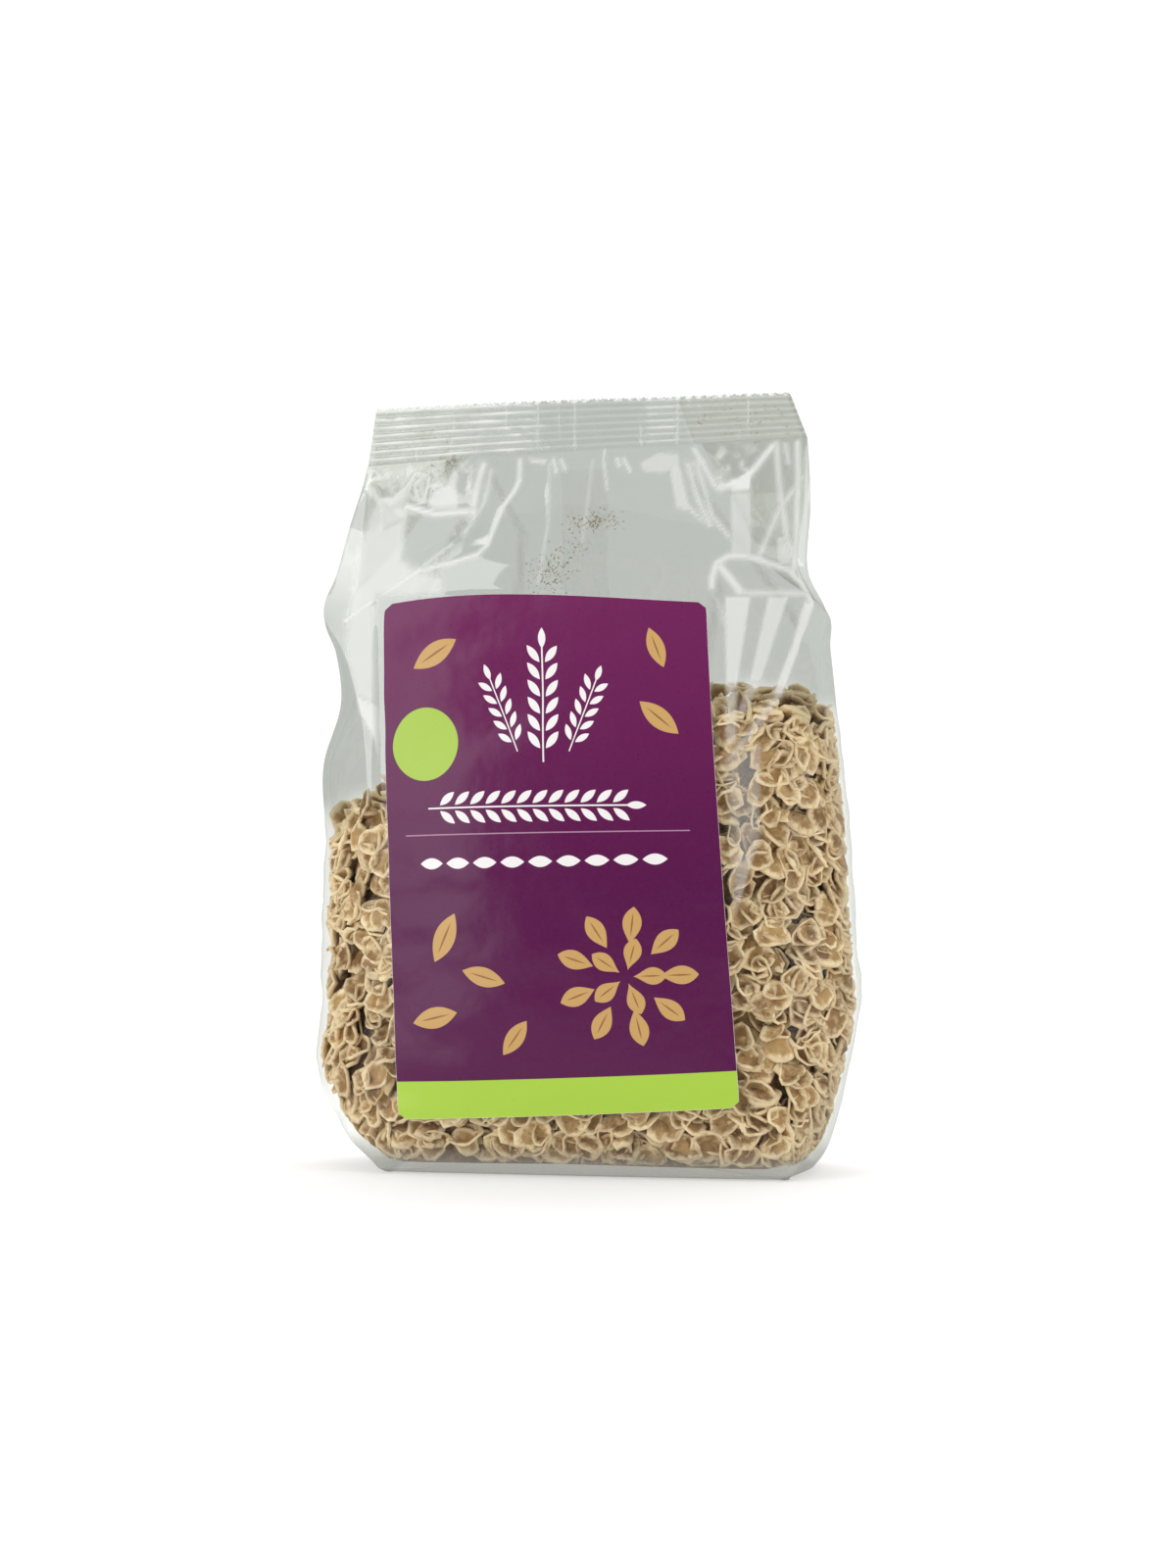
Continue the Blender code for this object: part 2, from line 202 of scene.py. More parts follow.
def panel_share(around):
    """Where a point of the web lies across its panel or gusset, from -1 to 1, and on which."""
    half = 0.5 * PANEL_MM
    edges = np.cumsum((half, GUSSET_MM, PANEL_MM, GUSSET_MM))
    region = np.searchsorted(edges, around, side="right")
    share = np.choose(region, (
        -around / half,
        1.0 - 2.0 * (around - edges[0]) / GUSSET_MM,
        -1.0 + 2.0 * (around - edges[1]) / PANEL_MM,
        -1.0 + 2.0 * (around - edges[2]) / GUSSET_MM,
        1.0 - (around - edges[3]) / half,
    ))
    return share, region


def skin(around, height):
    """Points of the smooth bag, from places round the web and heights, in millimetres."""
    left, right, corner, crown, swell_left, swell_right = level_at(height)
    share, region = panel_share(around)
    size = np.abs(share)
    across = 0.5 * (right - left) + 0.5 * (right + left) * share
    depth = corner + (crown - corner) * (1.0 - size ** PANEL_FULLNESS)
    swell = np.where(region == 1, swell_left, swell_right)
    reach = swell * np.where(swell < 0.0, 1.0 - size, 1.0 - size * size)
    x = np.choose(region, (across, -left - reach, across, right + reach, across))
    y = np.choose(region, (depth, share * corner, -depth, share * corner, depth))
    return np.stack((x + shift_mm[0], y + shift_mm[1], height), axis=1)


def skin_normals(around, height):
    """Outward directions of the smooth bag at those places."""
    step = 0.5
    above = np.minimum(height + step, BODY_TOP_MM)
    below = np.maximum(height - step, 0.0)
    along = skin((around + step) % WEB_MM, height) - skin((around - step) % WEB_MM, height)
    out = np.cross(along, skin(around, above) - skin(around, below))
    return out / np.linalg.norm(out, axis=1)[:, None]


def front_place(x, height):
    """How far round the web a point of the front lies, from its x and height."""
    left, right = level_at(height)[:2]
    share = (x - 0.5 * (right - left)) / (0.5 * (right + left))
    return 0.5 * PANEL_MM + GUSSET_MM + 0.5 * PANEL_MM * (1.0 + share)


print("the web of film goes", WEB_MM, "mm round")

# %% [markdown]
# ## Where the flakes come to
#
# The heap of flakes inside isn't level. It was tipped towards the right and the back when
# the bag was last moved, so its top falls from over 130 mm at the right to about 100 mm at
# the left. The film above it is slack and creased, and below it the flakes hold it taut.

# %% The heap's top
HEAP_MIDDLE_MM = 126.5
HEAP_SLOPES = (0.235, 0.10)
# How far the heap drops by its right and left ends
HEAP_DROPS_MM = (13.0, 7.0)
RADIUS_STEP_MM = 2.0


def heap_top(x, y):
    """Height of the heap of flakes over a point of the base, in millimetres."""
    drop = smooth_step(x, 44.0, 74.0) * HEAP_DROPS_MM[0] + smooth_step(-x, 40.0, 72.0) * HEAP_DROPS_MM[1]
    wander = 2.4 * np.sin(0.17 * x + 0.7) * np.cos(0.15 * y + 0.02 * x) + 1.3 * np.sin(0.41 * x + 2.0)
    return HEAP_MIDDLE_MM + HEAP_SLOPES[0] * x + HEAP_SLOPES[1] * y - drop + wander


def radius_table():
    """How far out the smooth bag stands, by height and by angle round its middle."""
    heights = np.arange(0.0, BODY_TOP_MM + 1.0, RADIUS_STEP_MM)
    angles = np.linspace(-np.pi, np.pi, 361)
    around = np.linspace(0.0, WEB_MM, 761)[:-1]
    table = []
    for height in heights:
        ring = skin(around, np.full(len(around), height))
        turn = np.arctan2(ring[:, 1], ring[:, 0])
        order = np.argsort(turn)
        radius = np.hypot(ring[:, 0], ring[:, 1])
        table.append(np.interp(angles, turn[order], radius[order], period=2.0 * np.pi))
    return heights, angles, np.array(table)


radius_heights, radius_angles, radius_rows = radius_table()


def bag_radius(points):
    """The smooth bag's radius at the height and angle of each point."""
    turn = (np.arctan2(points[:, 1], points[:, 0]) + np.pi) / (2.0 * np.pi) * (len(radius_angles) - 1)
    rise = np.clip(points[:, 2] / RADIUS_STEP_MM, 0.0, len(radius_heights) - 1.001)
    i = rise.astype(int)
    j = np.minimum(turn.astype(int), len(radius_angles) - 2)
    a = rise - i
    b = turn - j
    low = radius_rows[i, j] * (1.0 - b) + radius_rows[i, j + 1] * b
    high = radius_rows[i + 1, j] * (1.0 - b) + radius_rows[i + 1, j + 1] * b
    return low * (1.0 - a) + high * a


print("heap top, left to right:", heap_top(np.array((-70.0, 0.0, 70.0)), np.zeros(3)).round(0), "mm")

# %% [markdown]
# ## The label's place
#
# The label was stuck on by machine a little askew, with its top towards the left. The
# film under it has no creases, because the paper holds it, and only follows its waves.

# %% The label's curves
LABEL_ARCH_MM = 2.45
LABEL_ARCH_LEAN = 0.65
LABEL_CORNER_MM = 2.4


def between(ends, share):
    """A value between those of a low and a high end, at a share from -1 to 1."""
    return ends[0] + 0.5 * (share + 1.0) * (ends[1] - ends[0])


def line_at(value, start, end):
    """The second number on a straight line between two pairs, where the first is value."""
    return start[1] + (value - start[0]) / (end[0] - start[0]) * (end[1] - start[1])


def label_point(u, v):
    """The x and height of a point of the label, from its shares across and up the paper."""
    foot = [between(ends, u) for ends in zip(*LABEL_FOOT_MM)]
    head = [between(ends, u) for ends in zip(*LABEL_HEAD_MM)]
    x, z = [between(ends, v) for ends in zip(foot, head)]
    arch = LABEL_ARCH_MM * (1.0 - u * u) * (1.0 - LABEL_ARCH_LEAN * u)
    return x, z + arch * np.maximum(v, 0.0)


def label_cover(points):
    """1 under the label and its margin, and 0 away from it and behind."""
    x = points[:, 0] - shift_mm[0]
    z = points[:, 2]
    sides = [line_at(z, foot[::-1], head[::-1]) for foot, head in zip(LABEL_FOOT_MM, LABEL_HEAD_MM)]
    foot, head = (line_at(x, *ends) for ends in (LABEL_FOOT_MM, LABEL_HEAD_MM))
    outside = np.maximum.reduce((sides[0] - x, x - sides[1], foot - z, z - head))
    return (1.0 - smooth_step(outside, 1.0, 5.0)) * (points[:, 1] < 0.0)


def label_wave(x, z):
    """How far the paper and the film under it stand out, in waves that are lowest at the right."""
    broad = noise_at(x / 16.0, z / 16.0, 3.0 / 16.0)
    long = noise_at(x / 24.0, z / 10.0, 8.0)
    return 0.25 * (broad + 0.5) + 0.85 * (long + 0.4) * (1.0 - smooth_step(x, -24.0, 14.0))


# %% [markdown]
# ## Helpers for pieces
#
# Every piece is added with nothing else selected, shaped, and then handed to the frame:
# it rides on the bag's one body, and gets its material.

# %% Helpers for pieces
WELD_M = 0.00001


def deselect():
    """Leave nothing selected, so that an operator acts on the next piece alone."""
    bpy.ops.object.select_all(action="DESELECT")


def only(piece):
    """Select one piece and make it active."""
    deselect()
    piece.select_set(True)
    bpy.context.view_layer.objects.active = piece


def add_grid(name, columns, rows):
    """A flat web as a grid primitive, with its places across and up it, from 0 to 1."""
    deselect()
    bpy.ops.mesh.primitive_grid_add(x_subdivisions=columns, y_subdivisions=rows, size=1.0)
    piece = bpy.context.object
    piece.name = name
    flat = np.empty(3 * len(piece.data.vertices))
    piece.data.vertices.foreach_get("co", flat)
    flat = flat.reshape(-1, 3)
    return piece, flat[:, 0] + 0.5, flat[:, 1] + 0.5


def place_points(piece, points_mm):
    """Move all the vertices of a piece to points given in millimetres."""
    piece.data.vertices.foreach_set("co", (points_mm * MM).astype(np.float32).ravel())
    piece.data.update()


def edit(piece, *steps):
    """Run edit-mode operators on the whole of a piece, each as a name and its settings."""
    only(piece)
    bpy.ops.object.mode_set(mode="EDIT")
    bpy.ops.mesh.select_all(action="SELECT")
    for operator, settings in steps:
        getattr(bpy.ops.mesh, operator)(**settings)
    bpy.ops.object.mode_set(mode="OBJECT")


def weld(piece):
    """Join the points that coincide, and turn every face outwards."""
    edit(piece, ("remove_doubles", {"threshold": WELD_M}), ("normals_make_consistent", {"inside": False}))


def take_pattern(pattern):
    """The points and faces of a piece that others are copied from, which then goes."""
    points = np.array([v.co for v in pattern.data.vertices])
    # Sorted, because the extrude operator can list its faces in another order each run
    faces = sorted(tuple(polygon.vertices) for polygon in pattern.data.polygons)
    bpy.data.objects.remove(pattern)
    return points, faces


def join_copies(name, points_mm, faces, count):
    """One piece of many copies, from the points of all of them and the faces of one."""
    step = len(points_mm) // count
    mesh = bpy.data.meshes.new(name)
    mesh.from_pydata((points_mm * MM).tolist(), [], [
        tuple(start + corner for corner in face)
        for start in range(0, count * step, step)
        for face in faces
    ])
    piece = bpy.data.objects.new(name, mesh)
    bpy.context.scene.collection.objects.link(piece)
    return piece


def add_attribute(piece, name, kind, values):
    """Store a value for each vertex, for a material to read."""
    attribute = piece.data.attributes.new(name, kind, "POINT")
    slot = "vector" if kind == "FLOAT_VECTOR" else "value"
    attribute.data.foreach_set(slot, np.asarray(values, dtype=np.float32).ravel())


def hand_over(piece, slot, material, *nodes):
    """Give a finished piece its material, and its place in the frame."""
    piece.data.materials.clear()
    piece.data.materials.append(material)
    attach(piece, "root")
    if nodes:
        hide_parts(*nodes)
    corners = np.array([v.co for v in piece.data.vertices]) / MM
    size = (corners.max(axis=0) - corners.min(axis=0)).round(1)
    print(piece.name, "is", size, "mm with", len(piece.data.polygons), "faces")


# %% [markdown]
# ## Arithmetic in materials
#
# A material is a net of nodes, and its sums are easier to read as expressions. A Wire
# stands for one output on its way through the net, so that writing a * b + 1 adds the
# Math nodes that work it out.

# %% A class for shader sums
class Wire:
    """A number or colour on its way through a material."""

    def __init__(self, finish, socket):
        self.finish = finish
        self.socket = socket

    def math(self, operation, *others):
        """The result of a Math node, with None where this wire itself goes in."""
        values = dict(enumerate(self if other is None else other for other in others))
        node = self.finish.add("ShaderNodeMath", {"operation": operation}, values)
        return Wire(self.finish, node.outputs[0])

    def __add__(self, other):
        return self.math("ADD", None, other)

    def __sub__(self, other):
        return self.math("SUBTRACT", None, other)

    def __rsub__(self, other):
        return self.math("SUBTRACT", other, None)

    def __mul__(self, other):
        return self.math("MULTIPLY", None, other)

    def __truediv__(self, other):
        return self.math("DIVIDE", None, other)

    def __pow__(self, other):
        return self.math("POWER", None, other)

    def __abs__(self):
        return self.math("ABSOLUTE", None)

    __radd__ = __add__
    __rmul__ = __mul__

    def low(self, other):
        return self.math("MINIMUM", None, other)

    def high(self, other):
        return self.math("MAXIMUM", None, other)

    def wrap(self, pitch):
        """The distance from the middle of a repeat of this pitch."""
        return self.math("WRAP", None, 0.5 * pitch, -0.5 * pitch)

    def ramp(self, start, end):
        """A smooth step from 0 at start to 1 at end."""
        node = self.finish.add(
            "ShaderNodeMapRange",
            {"interpolation_type": "SMOOTHSTEP", "clamp": True},
            {"Value": self, "From Min": start, "From Max": end},
        )
        return Wire(self.finish, node.outputs["Result"])


# %% [markdown]
# The second class is the material itself. Every node goes through one method, add, and the
# others name the textures, mixes and shaders that all the finishes are made of.

# %% A class for materials
class Finish:
    """A material being made."""

    def __init__(self, name):
        self.material = bpy.data.materials.new(name)
        self.material.use_nodes = True
        self.tree = self.material.node_tree
        self.tree.nodes.clear()
        self.output = self.add("ShaderNodeOutputMaterial")

    def add(self, kind, settings=None, sockets=None):
        """Add a node with its settings, and set its sockets to values, wires or other nodes."""
        node = self.tree.nodes.new(kind)
        for name, value in (settings or {}).items():
            setattr(node, name, value)
        for name, value in (sockets or {}).items():
            if isinstance(value, Wire):
                self.tree.links.new(value.socket, node.inputs[name])
            elif isinstance(value, bpy.types.Node):
                self.tree.links.new(value.outputs[0], node.inputs[name])
            else:
                node.inputs[name].default_value = value
        return node

    def wire(self, node, output=0):
        return Wire(self, node.outputs[output])

    def object_place(self):
        return self.wire(self.add("ShaderNodeTexCoord"), "Object")

    def attribute(self, name, output="Fac"):
        return self.wire(self.add("ShaderNodeAttribute", {"attribute_name": name}), output)

    def parts(self, vector):
        node = self.add("ShaderNodeSeparateXYZ", None, {0: vector})
        return [self.wire(node, i) for i in range(3)]

    def noise(self, place, scale, detail=2.0, roughness=0.5):
        """Noise from 0 to 1, with scale in repeats to the metre."""
        node = self.add("ShaderNodeTexNoise", None, {
            "Vector": place, "Scale": scale, "Detail": detail, "Roughness": roughness,
        })
        return self.wire(node, "Fac")

    def mix(self, share, first, second):
        """A colour between two colours."""
        sockets = {0: share}
        for index, colour in ((6, first), (7, second)):
            sockets[index] = colour if isinstance(colour, Wire) else (*colour, 1.0)
        node = self.add("ShaderNodeMix", {"data_type": "RGBA"}, sockets)
        return self.wire(node, 2)

    def bump(self, height, distance, strength=1.0):
        sockets = {"Height": height, "Distance": distance, "Strength": strength}
        return self.wire(self.add("ShaderNodeBump", None, sockets), "Normal")

    def principled(self, **sockets):
        """A Principled shader, whose sockets are given in small letters."""
        named = {name.replace("_", " ").title().replace("Ior", "IOR"): sockets[name] for name in sockets}
        return self.add("ShaderNodeBsdfPrincipled", None, named)

    def blend(self, share, first, second):
        """A Mix Shader between two shaders."""
        return self.add("ShaderNodeMixShader", None, {0: share, 1: first, 2: second})

    def surface(self, node):
        self.tree.links.new(node.outputs[0], self.output.inputs["Surface"])
        print(self.material.name, "has", len(self.tree.nodes), "nodes")
        return self.material


# %% [markdown]
# ## The film's finish
#
# Clear film hardly scatters light. It mirrors a little of the room, more at a slant, and
# lets the rest through, greyed. A Mix Shader says just that: its factor is the Fresnel
# share, the mirror is one input, and a tinted Transparent shader is the other, so that the
# lamps still light the flakes. Two values stored on the film steer it. Where the flakes
# hold the film taut it mirrors less. Its grey is painted shade, most where it hangs slack,
# and each ray should lose the same light whether it passes two layers or four, so the
# gussets folded in at the top stay clearer. Seen edge-on, film is painted darker, which
# draws the outline of the bag. Where film has been creased or stretched it turns milky, and
# a third value says where; the same value also paints sheens and highlights on the film,
# as painted reflections of the softboxes.

# %% Film finish
# The grey tint is painted shade, and the milk colour also serves for painted sheens.
SHADE_GREY_TINT = (0.660, 0.680, 0.655, 1.0)
CLEAR_TINT = (0.965, 0.965, 0.95, 1.0)
MILK_AND_SHEEN = (0.80, 0.81, 0.775, 1.0)
MIRROR_TINT = (0.97, 0.98, 0.95, 1.0)
# A film has two faces that mirror, so its Fresnel share is more than that of one face.
BOTH_FACES = 2.4
SHADE_GREY_MOST = 0.88
EDGE_SHADE_GREY = 0.5
MIRROR_TAUT = 0.012
MIRROR_SLACK = 0.055


def film_finish(name, ripple_height=0.00004, clear_tint=CLEAR_TINT):
    """Clear film, greyer with painted shade and shinier where it hangs slack, and milky where it is
    creased, with painted sheens.
    """
    finish = Finish(name)
    ripple = finish.noise(finish.object_place(), 60.0, 2.0, 0.4)
    normal = finish.bump(ripple, ripple_height)
    fresnel = finish.wire(finish.add("ShaderNodeFresnel", None, {"IOR": 1.5, "Normal": normal}))
    most = finish.attribute("film_slack") * (MIRROR_SLACK - MIRROR_TAUT) + MIRROR_TAUT
    edge_on = finish.wire(finish.add("ShaderNodeLayerWeight", None, {"Blend": 0.5}), "Facing")
    shade_greyness = (finish.attribute("film_shade_grey") * SHADE_GREY_MOST + edge_on ** 4.0 * EDGE_SHADE_GREY).low(1.0)
    clear, shade_grey = (
        finish.add("ShaderNodeBsdfTransparent", None, {"Color": tint})
        for tint in (clear_tint, SHADE_GREY_TINT)
    )
    mirror = finish.principled(base_color=MIRROR_TINT, metallic=1.0, roughness=0.035, normal=normal)
    milk_and_sheen = finish.principled(base_color=MILK_AND_SHEEN, roughness=0.4, normal=normal)
    glossy = finish.blend((fresnel * BOTH_FACES).low(most), finish.blend(shade_greyness, clear, shade_grey), mirror)
    return finish.surface(finish.blend(finish.attribute("film_haze_and_sheen").low(1.0), glossy, milk_and_sheen))


def mark_film(piece, slack, shade_grey, haze_and_sheen):
    """Store the three values that the film's finish reads."""
    for name, values in (("film_slack", slack), ("film_shade_grey", shade_grey), ("film_haze_and_sheen", haze_and_sheen)):
        add_attribute(piece, name, "FLOAT", values)


clear_film = film_finish("clear_film")

# %% [markdown]
# ## The film
#
# The bag is one web of film. A grid is added whose columns go round the bag, closest on
# the front, and whose rows go from the middle of the base, out to its edge, up the body
# and through the seal. Above the flakes the film is crushed into flat facets with sharp
# creases between them. That look comes from scattering a few points over the web, giving
# each a random push in or out, and laying flat triangles between them.

# %% Facets of the slack film
FACET_SEED = 12
FACET_STEP_MM = (27.0, 25.0)
FACET_JITTER = 0.45
FACET_PUSH_MM = 1.1
FACET_START_MM = 96.0
# How far the net of facets goes on past the film's top, and past its ends round the bag
FACET_MARGINS_MM = (20.0, 60.0)


def facet_push(around, height):
    """How far crushed film stands in or out, flat between scattered points of the web."""
    draw = np.random.default_rng(FACET_SEED)
    columns = round(WEB_MM / FACET_STEP_MM[0])
    rows = round((BODY_TOP_MM + FACET_MARGINS_MM[0] - FACET_START_MM) / FACET_STEP_MM[1])
    spots = []
    for row in range(rows + 1):
        for column in range(columns):
            a, b = draw.uniform(-FACET_JITTER, FACET_JITTER, 2)
            spot_height = FACET_START_MM + (row + b) * FACET_STEP_MM[1]
            spots.append(((column + a + 0.5) * WEB_MM / columns, spot_height))
    wrapped = np.concatenate([np.array(spots) + (turn * WEB_MM, 0.0) for turn in (-1, 0, 1)])
    pushes = np.tile(draw.uniform(-1.0, 1.0, len(spots)), 3)
    keep = (wrapped[:, 0] > -FACET_MARGINS_MM[1]) & (wrapped[:, 0] < WEB_MM + FACET_MARGINS_MM[1])
    pushes = pushes[keep]
    net = delaunay_2d_cdt([Vector(spot) for spot in wrapped[keep]], [], [], 0, 0.001)
    total = np.zeros(len(around))
    for corners in net[2]:
        a, b, c = (np.array(net[0][corner]) for corner in corners)
        area = (b[0] - a[0]) * (c[1] - a[1]) - (c[0] - a[0]) * (b[1] - a[1])
        v = ((around - a[0]) * (c[1] - a[1]) - (c[0] - a[0]) * (height - a[1])) / area
        w = ((b[0] - a[0]) * (height - a[1]) - (around - a[0]) * (b[1] - a[1])) / area
        inside = (v >= 0.0) & (w >= 0.0) & (v + w <= 1.0)
        first, second, third = (pushes[net[3][corner][0]] for corner in corners)
        flat = first * (1.0 - v - w) + second * v + third * w
        total[inside] = flat[inside]
    return FACET_PUSH_MM * total


# %% [markdown]
# Over the facets come the creases that can be told one by one. Each is a low milky ridge
# along a few points of its panel, whose milkiness is partly a painted highlight: folds that
# run down from the seal on each shoulder, and a loop where the film was pinched. Between
# them some panes of film are painted milky all over, partly as painted reflections of the
# softboxes, such as the fan of three bands at the right.

# %% Creases, milky panes and painted sheens
# Each crease: how milky it is, which is partly a painted highlight, and its half width, then its points
# as x and height.
FRONT_CREASES = (
    (0.70, 0.80, ((-68, 158), (-57.5, 165), (-46.5, 172.5))),
    (0.35, 0.75, ((-46.5, 173), (-37.5, 180.5))),
    (0.70, 0.80, ((-19.5, 199.5), (-20.5, 196.5), (-23.5, 191.5), (-25, 187), (-27, 179.5))),
    (0.60, 0.80, ((-27, 179.5), (-29.5, 177), (-37.5, 174.5), (-46.5, 172.5))),
    (0.60, 1.10, ((-31, 205), (-32, 199.5), (-32.5, 189.5))),
    (0.35, 0.75, ((-28.5, 203), (-29, 193.5), (-34, 184))),
    (0.60, 0.75, ((-52, 203.5), (-54.5, 199), (-58.5, 195.5), (-62.5, 195.5))),
    (0.45, 0.75, ((-49, 202.5), (-52, 200), (-51, 197), (-49, 193.5))),
    (0.45, 0.75, ((-47.5, 202), (-48, 194))),
    (0.75, 0.95, ((-53.5, 193), (-44, 190), (-32, 190.5))),
    (0.60, 0.75, ((-20, 206), (-19.5, 199.5))),
    (0.50, 0.75, ((30, 203), (33.5, 192.5), (37.5, 184.5))),
    (0.45, 0.75, ((33, 202), (38, 187), (43, 181))),
    (0.60, 0.75, ((31.5, 208), (38.5, 196), (40, 195))),
    (0.75, 1.10, ((54.5, 208), (50, 202), (46, 196.5), (40, 196))),
    (0.55, 0.95, ((55.5, 209), (56.5, 198), (57.5, 190.5), (59.5, 180), (63.5, 168.5))),
    (0.45, 0.95, ((63, 198), (59, 192), (56, 186.5), (52, 175.5))),
    (0.65, 0.95, ((61.5, 209), (62, 198), (62, 183.5), (61.5, 170))),
    (0.70, 0.95, ((39, 166), (39, 169), (40, 173), (43, 175), (48, 175), (53, 173.5),
                  (60, 171), (64, 167), (68, 160))),
    (0.40, 0.70, ((39, 166), (41, 161), (43.5, 155), (47.5, 149))),
    (0.45, 0.95, ((46.5, 164), (65, 164))),
    (0.70, 1.10, ((41, 172), (47, 164.5))),
    (0.35, 1.10, ((58.5, 135), (48.5, 121), (45, 116.5))),
    (0.60, 0.55, ((-10, 206), (-8.5, 202))),
    (0.55, 0.55, ((-7.5, 205.5), (-6, 202.5))),
    (0.45, 0.45, ((5, 223), (5.2, 205), (7, 195.5))),
    (0.60, 0.55, ((9, 205.5), (10, 203))),
    (0.60, 0.55, ((11, 205.5), (13.2, 201.5))),
    (0.30, 0.45, ((-11, 205), (-9.5, 188), (-10.5, 168))),
    (0.25, 0.45, ((2, 205), (1, 180))),
    (0.40, 0.55, ((-34.8, 205), (-33.8, 196))),
    (0.55, 0.80, ((-66, 200), (-62, 194), (-60, 186))),
)
BACK_CREASES = (
    (0.40, 0.9, ((-64, 158), (-52, 172), (-40, 190))),
    (0.40, 0.9, ((60, 157), (46, 178), (30, 200))),
    (0.35, 0.9, ((-30, 202), (-22, 186), (-26, 165), (-44, 150))),
    (0.30, 1.4, ((36, 170), (28, 138))),
    (0.30, 1.4, ((-50, 166), (-44, 134))),
)
# Each pane: how milky it is, which is partly a painted reflection, then its corners as x and height.
# The left shoulder's broad painted sheen, a painted reflection of the left softbox, by its corners as x
# and height.
SHOULDER_SHEEN = (
    (-62, 195.5), (-54, 198), (-53, 191.5), (-52.5, 176), (-46.5, 172), (-39.5, 170),
    (-39, 163.5), (-55, 162.5), (-55, 132.5), (-64, 136), (-68, 148), (-67.5, 156.5),
    (-66.5, 180), (-64, 192),
)
MILKY_AND_SHEEN_PANES = (
    (0.70, ((-32, 180.5), (-26.5, 183), (-27, 179.5))),
    (0.50, ((-47, 193.5), (-45, 197.5), (-39, 200), (-37, 190.5), (-45, 191))),
    (0.45, ((24.5, 203), (27.5, 203), (31, 191), (37, 184.5), (35, 185.5), (31, 189),
            (27.5, 190))),
    (0.85, ((41, 197), (45.5, 199), (50, 202.5), (48.5, 198.5), (48.5, 194.5), (42, 195.5))),
    (0.40, ((43, 194.5), (48.5, 194.5), (49.5, 174.5), (44, 174.5))),
    (0.45, ((56.5, 181), (58.5, 181), (61.5, 172), (57, 173.5))),
    (0.62, ((43, 163), (50, 163), (47, 137.5), (44, 137.5))),
    (0.30, ((44, 138), (47, 138), (47, 121), (44, 121))),
    (0.55, ((55, 163), (60.5, 163), (53.5, 139), (50.5, 139))),
    (0.25, ((50.5, 139.5), (53.5, 139.5), (49.5, 129.5), (47, 129.5))),
    (0.70, ((65, 161.5), (68, 161.5), (64.5, 150), (59.5, 135.5), (57, 135.5), (62, 149.5))),
    (0.40, ((16, 204), (21, 207), (27, 206.5), (27.5, 202.5), (22.5, 200.5), (17, 201.5))),
    (0.50, ((-17.5, 206.5), (-12, 206), (-12, 204.5), (-16.5, 205))),
    (0.40, ((57, 209), (59, 209), (60, 201.5), (58.5, 202))),
    (0.70, ((-64, 136), (-55.5, 132.5), (-55, 114.5), (-58, 123.5), (-63, 131.5))),
    (0.22, ((41.5, 115.5), (53.5, 121), (53.5, 91.5), (45.5, 91.5), (42, 96.5))),
    (0.30, ((44, 91), (52.5, 91.5), (45.5, 68))),
)
# Film crushed by the jaws, as its middle and reach in x and height, and how milky it is, partly as
# painted glints
CRUSHED_GLINTS = ((43.0, 203.0, 13.0, 5.5, 0.5), (-46.0, 201.0, 17.0, 6.0, 0.5))
# A pane on the left shoulder painted to mirror less, as painted shade where the film would turn away from
# the light
PAINTED_DARK_PANE = ((-53, 190), (-32, 190), (-32, 182), (-45.5, 172.5), (-50, 173), (-52.5, 176))
# The panes are partly milky film and partly painted reflections.
print(len(FRONT_CREASES), "creases and", len(MILKY_AND_SHEEN_PANES), "milky panes on the front")

# %% [markdown]
# A crease fades away from its line, and a pane is even inside its outline, which is soft.

# %% How strong they are at each point
CREST_MM = 0.16


def gap_to(x, height, a, b):
    """How far each point is from the straight line between two others."""
    run = (b[0] - a[0], b[1] - a[1])
    along = ((x - a[0]) * run[0] + (height - a[1]) * run[1]) / (run[0] ** 2 + run[1] ** 2)
    along = np.clip(along, 0.0, 1.0)
    return np.hypot(x - a[0] - along * run[0], height - a[1] - along * run[1])


def crease_mark(x, height, creases):
    """How strong the creases are at each point, each fading away from its line."""
    strongest = np.zeros(len(x))
    for milkiness_and_sheen, width, places in creases:
        nearest = np.min([gap_to(x, height, a, b) for a, b in zip(places[:-1], places[1:])], axis=0)
        strongest = np.maximum(strongest, milkiness_and_sheen * np.exp(-(nearest / width) ** 2))
    return strongest


def pane_mark(x, height, corners, soft=0.5):
    """1 inside a pane and 0 outside it, with a soft edge."""
    sides = list(zip(corners, corners[1:] + corners[:1]))
    nearest = np.min([gap_to(x, height, a, b) for a, b in sides], axis=0)
    inside = np.zeros(len(x), dtype=bool)
    for a, b in sides:
        if a[1] != b[1]:
            crossing = a[0] + (height - a[1]) / (b[1] - a[1]) * (b[0] - a[0])
            inside ^= ((a[1] > height) != (b[1] > height)) & (x < crossing)
    return smooth_step(np.where(inside, nearest, -nearest), -soft, soft)


# %% [markdown]
# Now the grid is laid out. Its columns and rows are closest where the creases are finest,
# because a crease that falls between two rows of points would be lost.

# %% Lay out the grid
# Places round the web in millimetres where each stretch starts, and its columns
WEB_STRETCHES = ((0.0, 42), (62.0, 44), (128.0, 206), (252.0, 44), (318.0, 42))
BASE_ROWS = 10
TAUT_ROWS = 60
SLACK_ROWS = 127
SLACK_START_MM = 96.0
SEAL_ROWS = 49

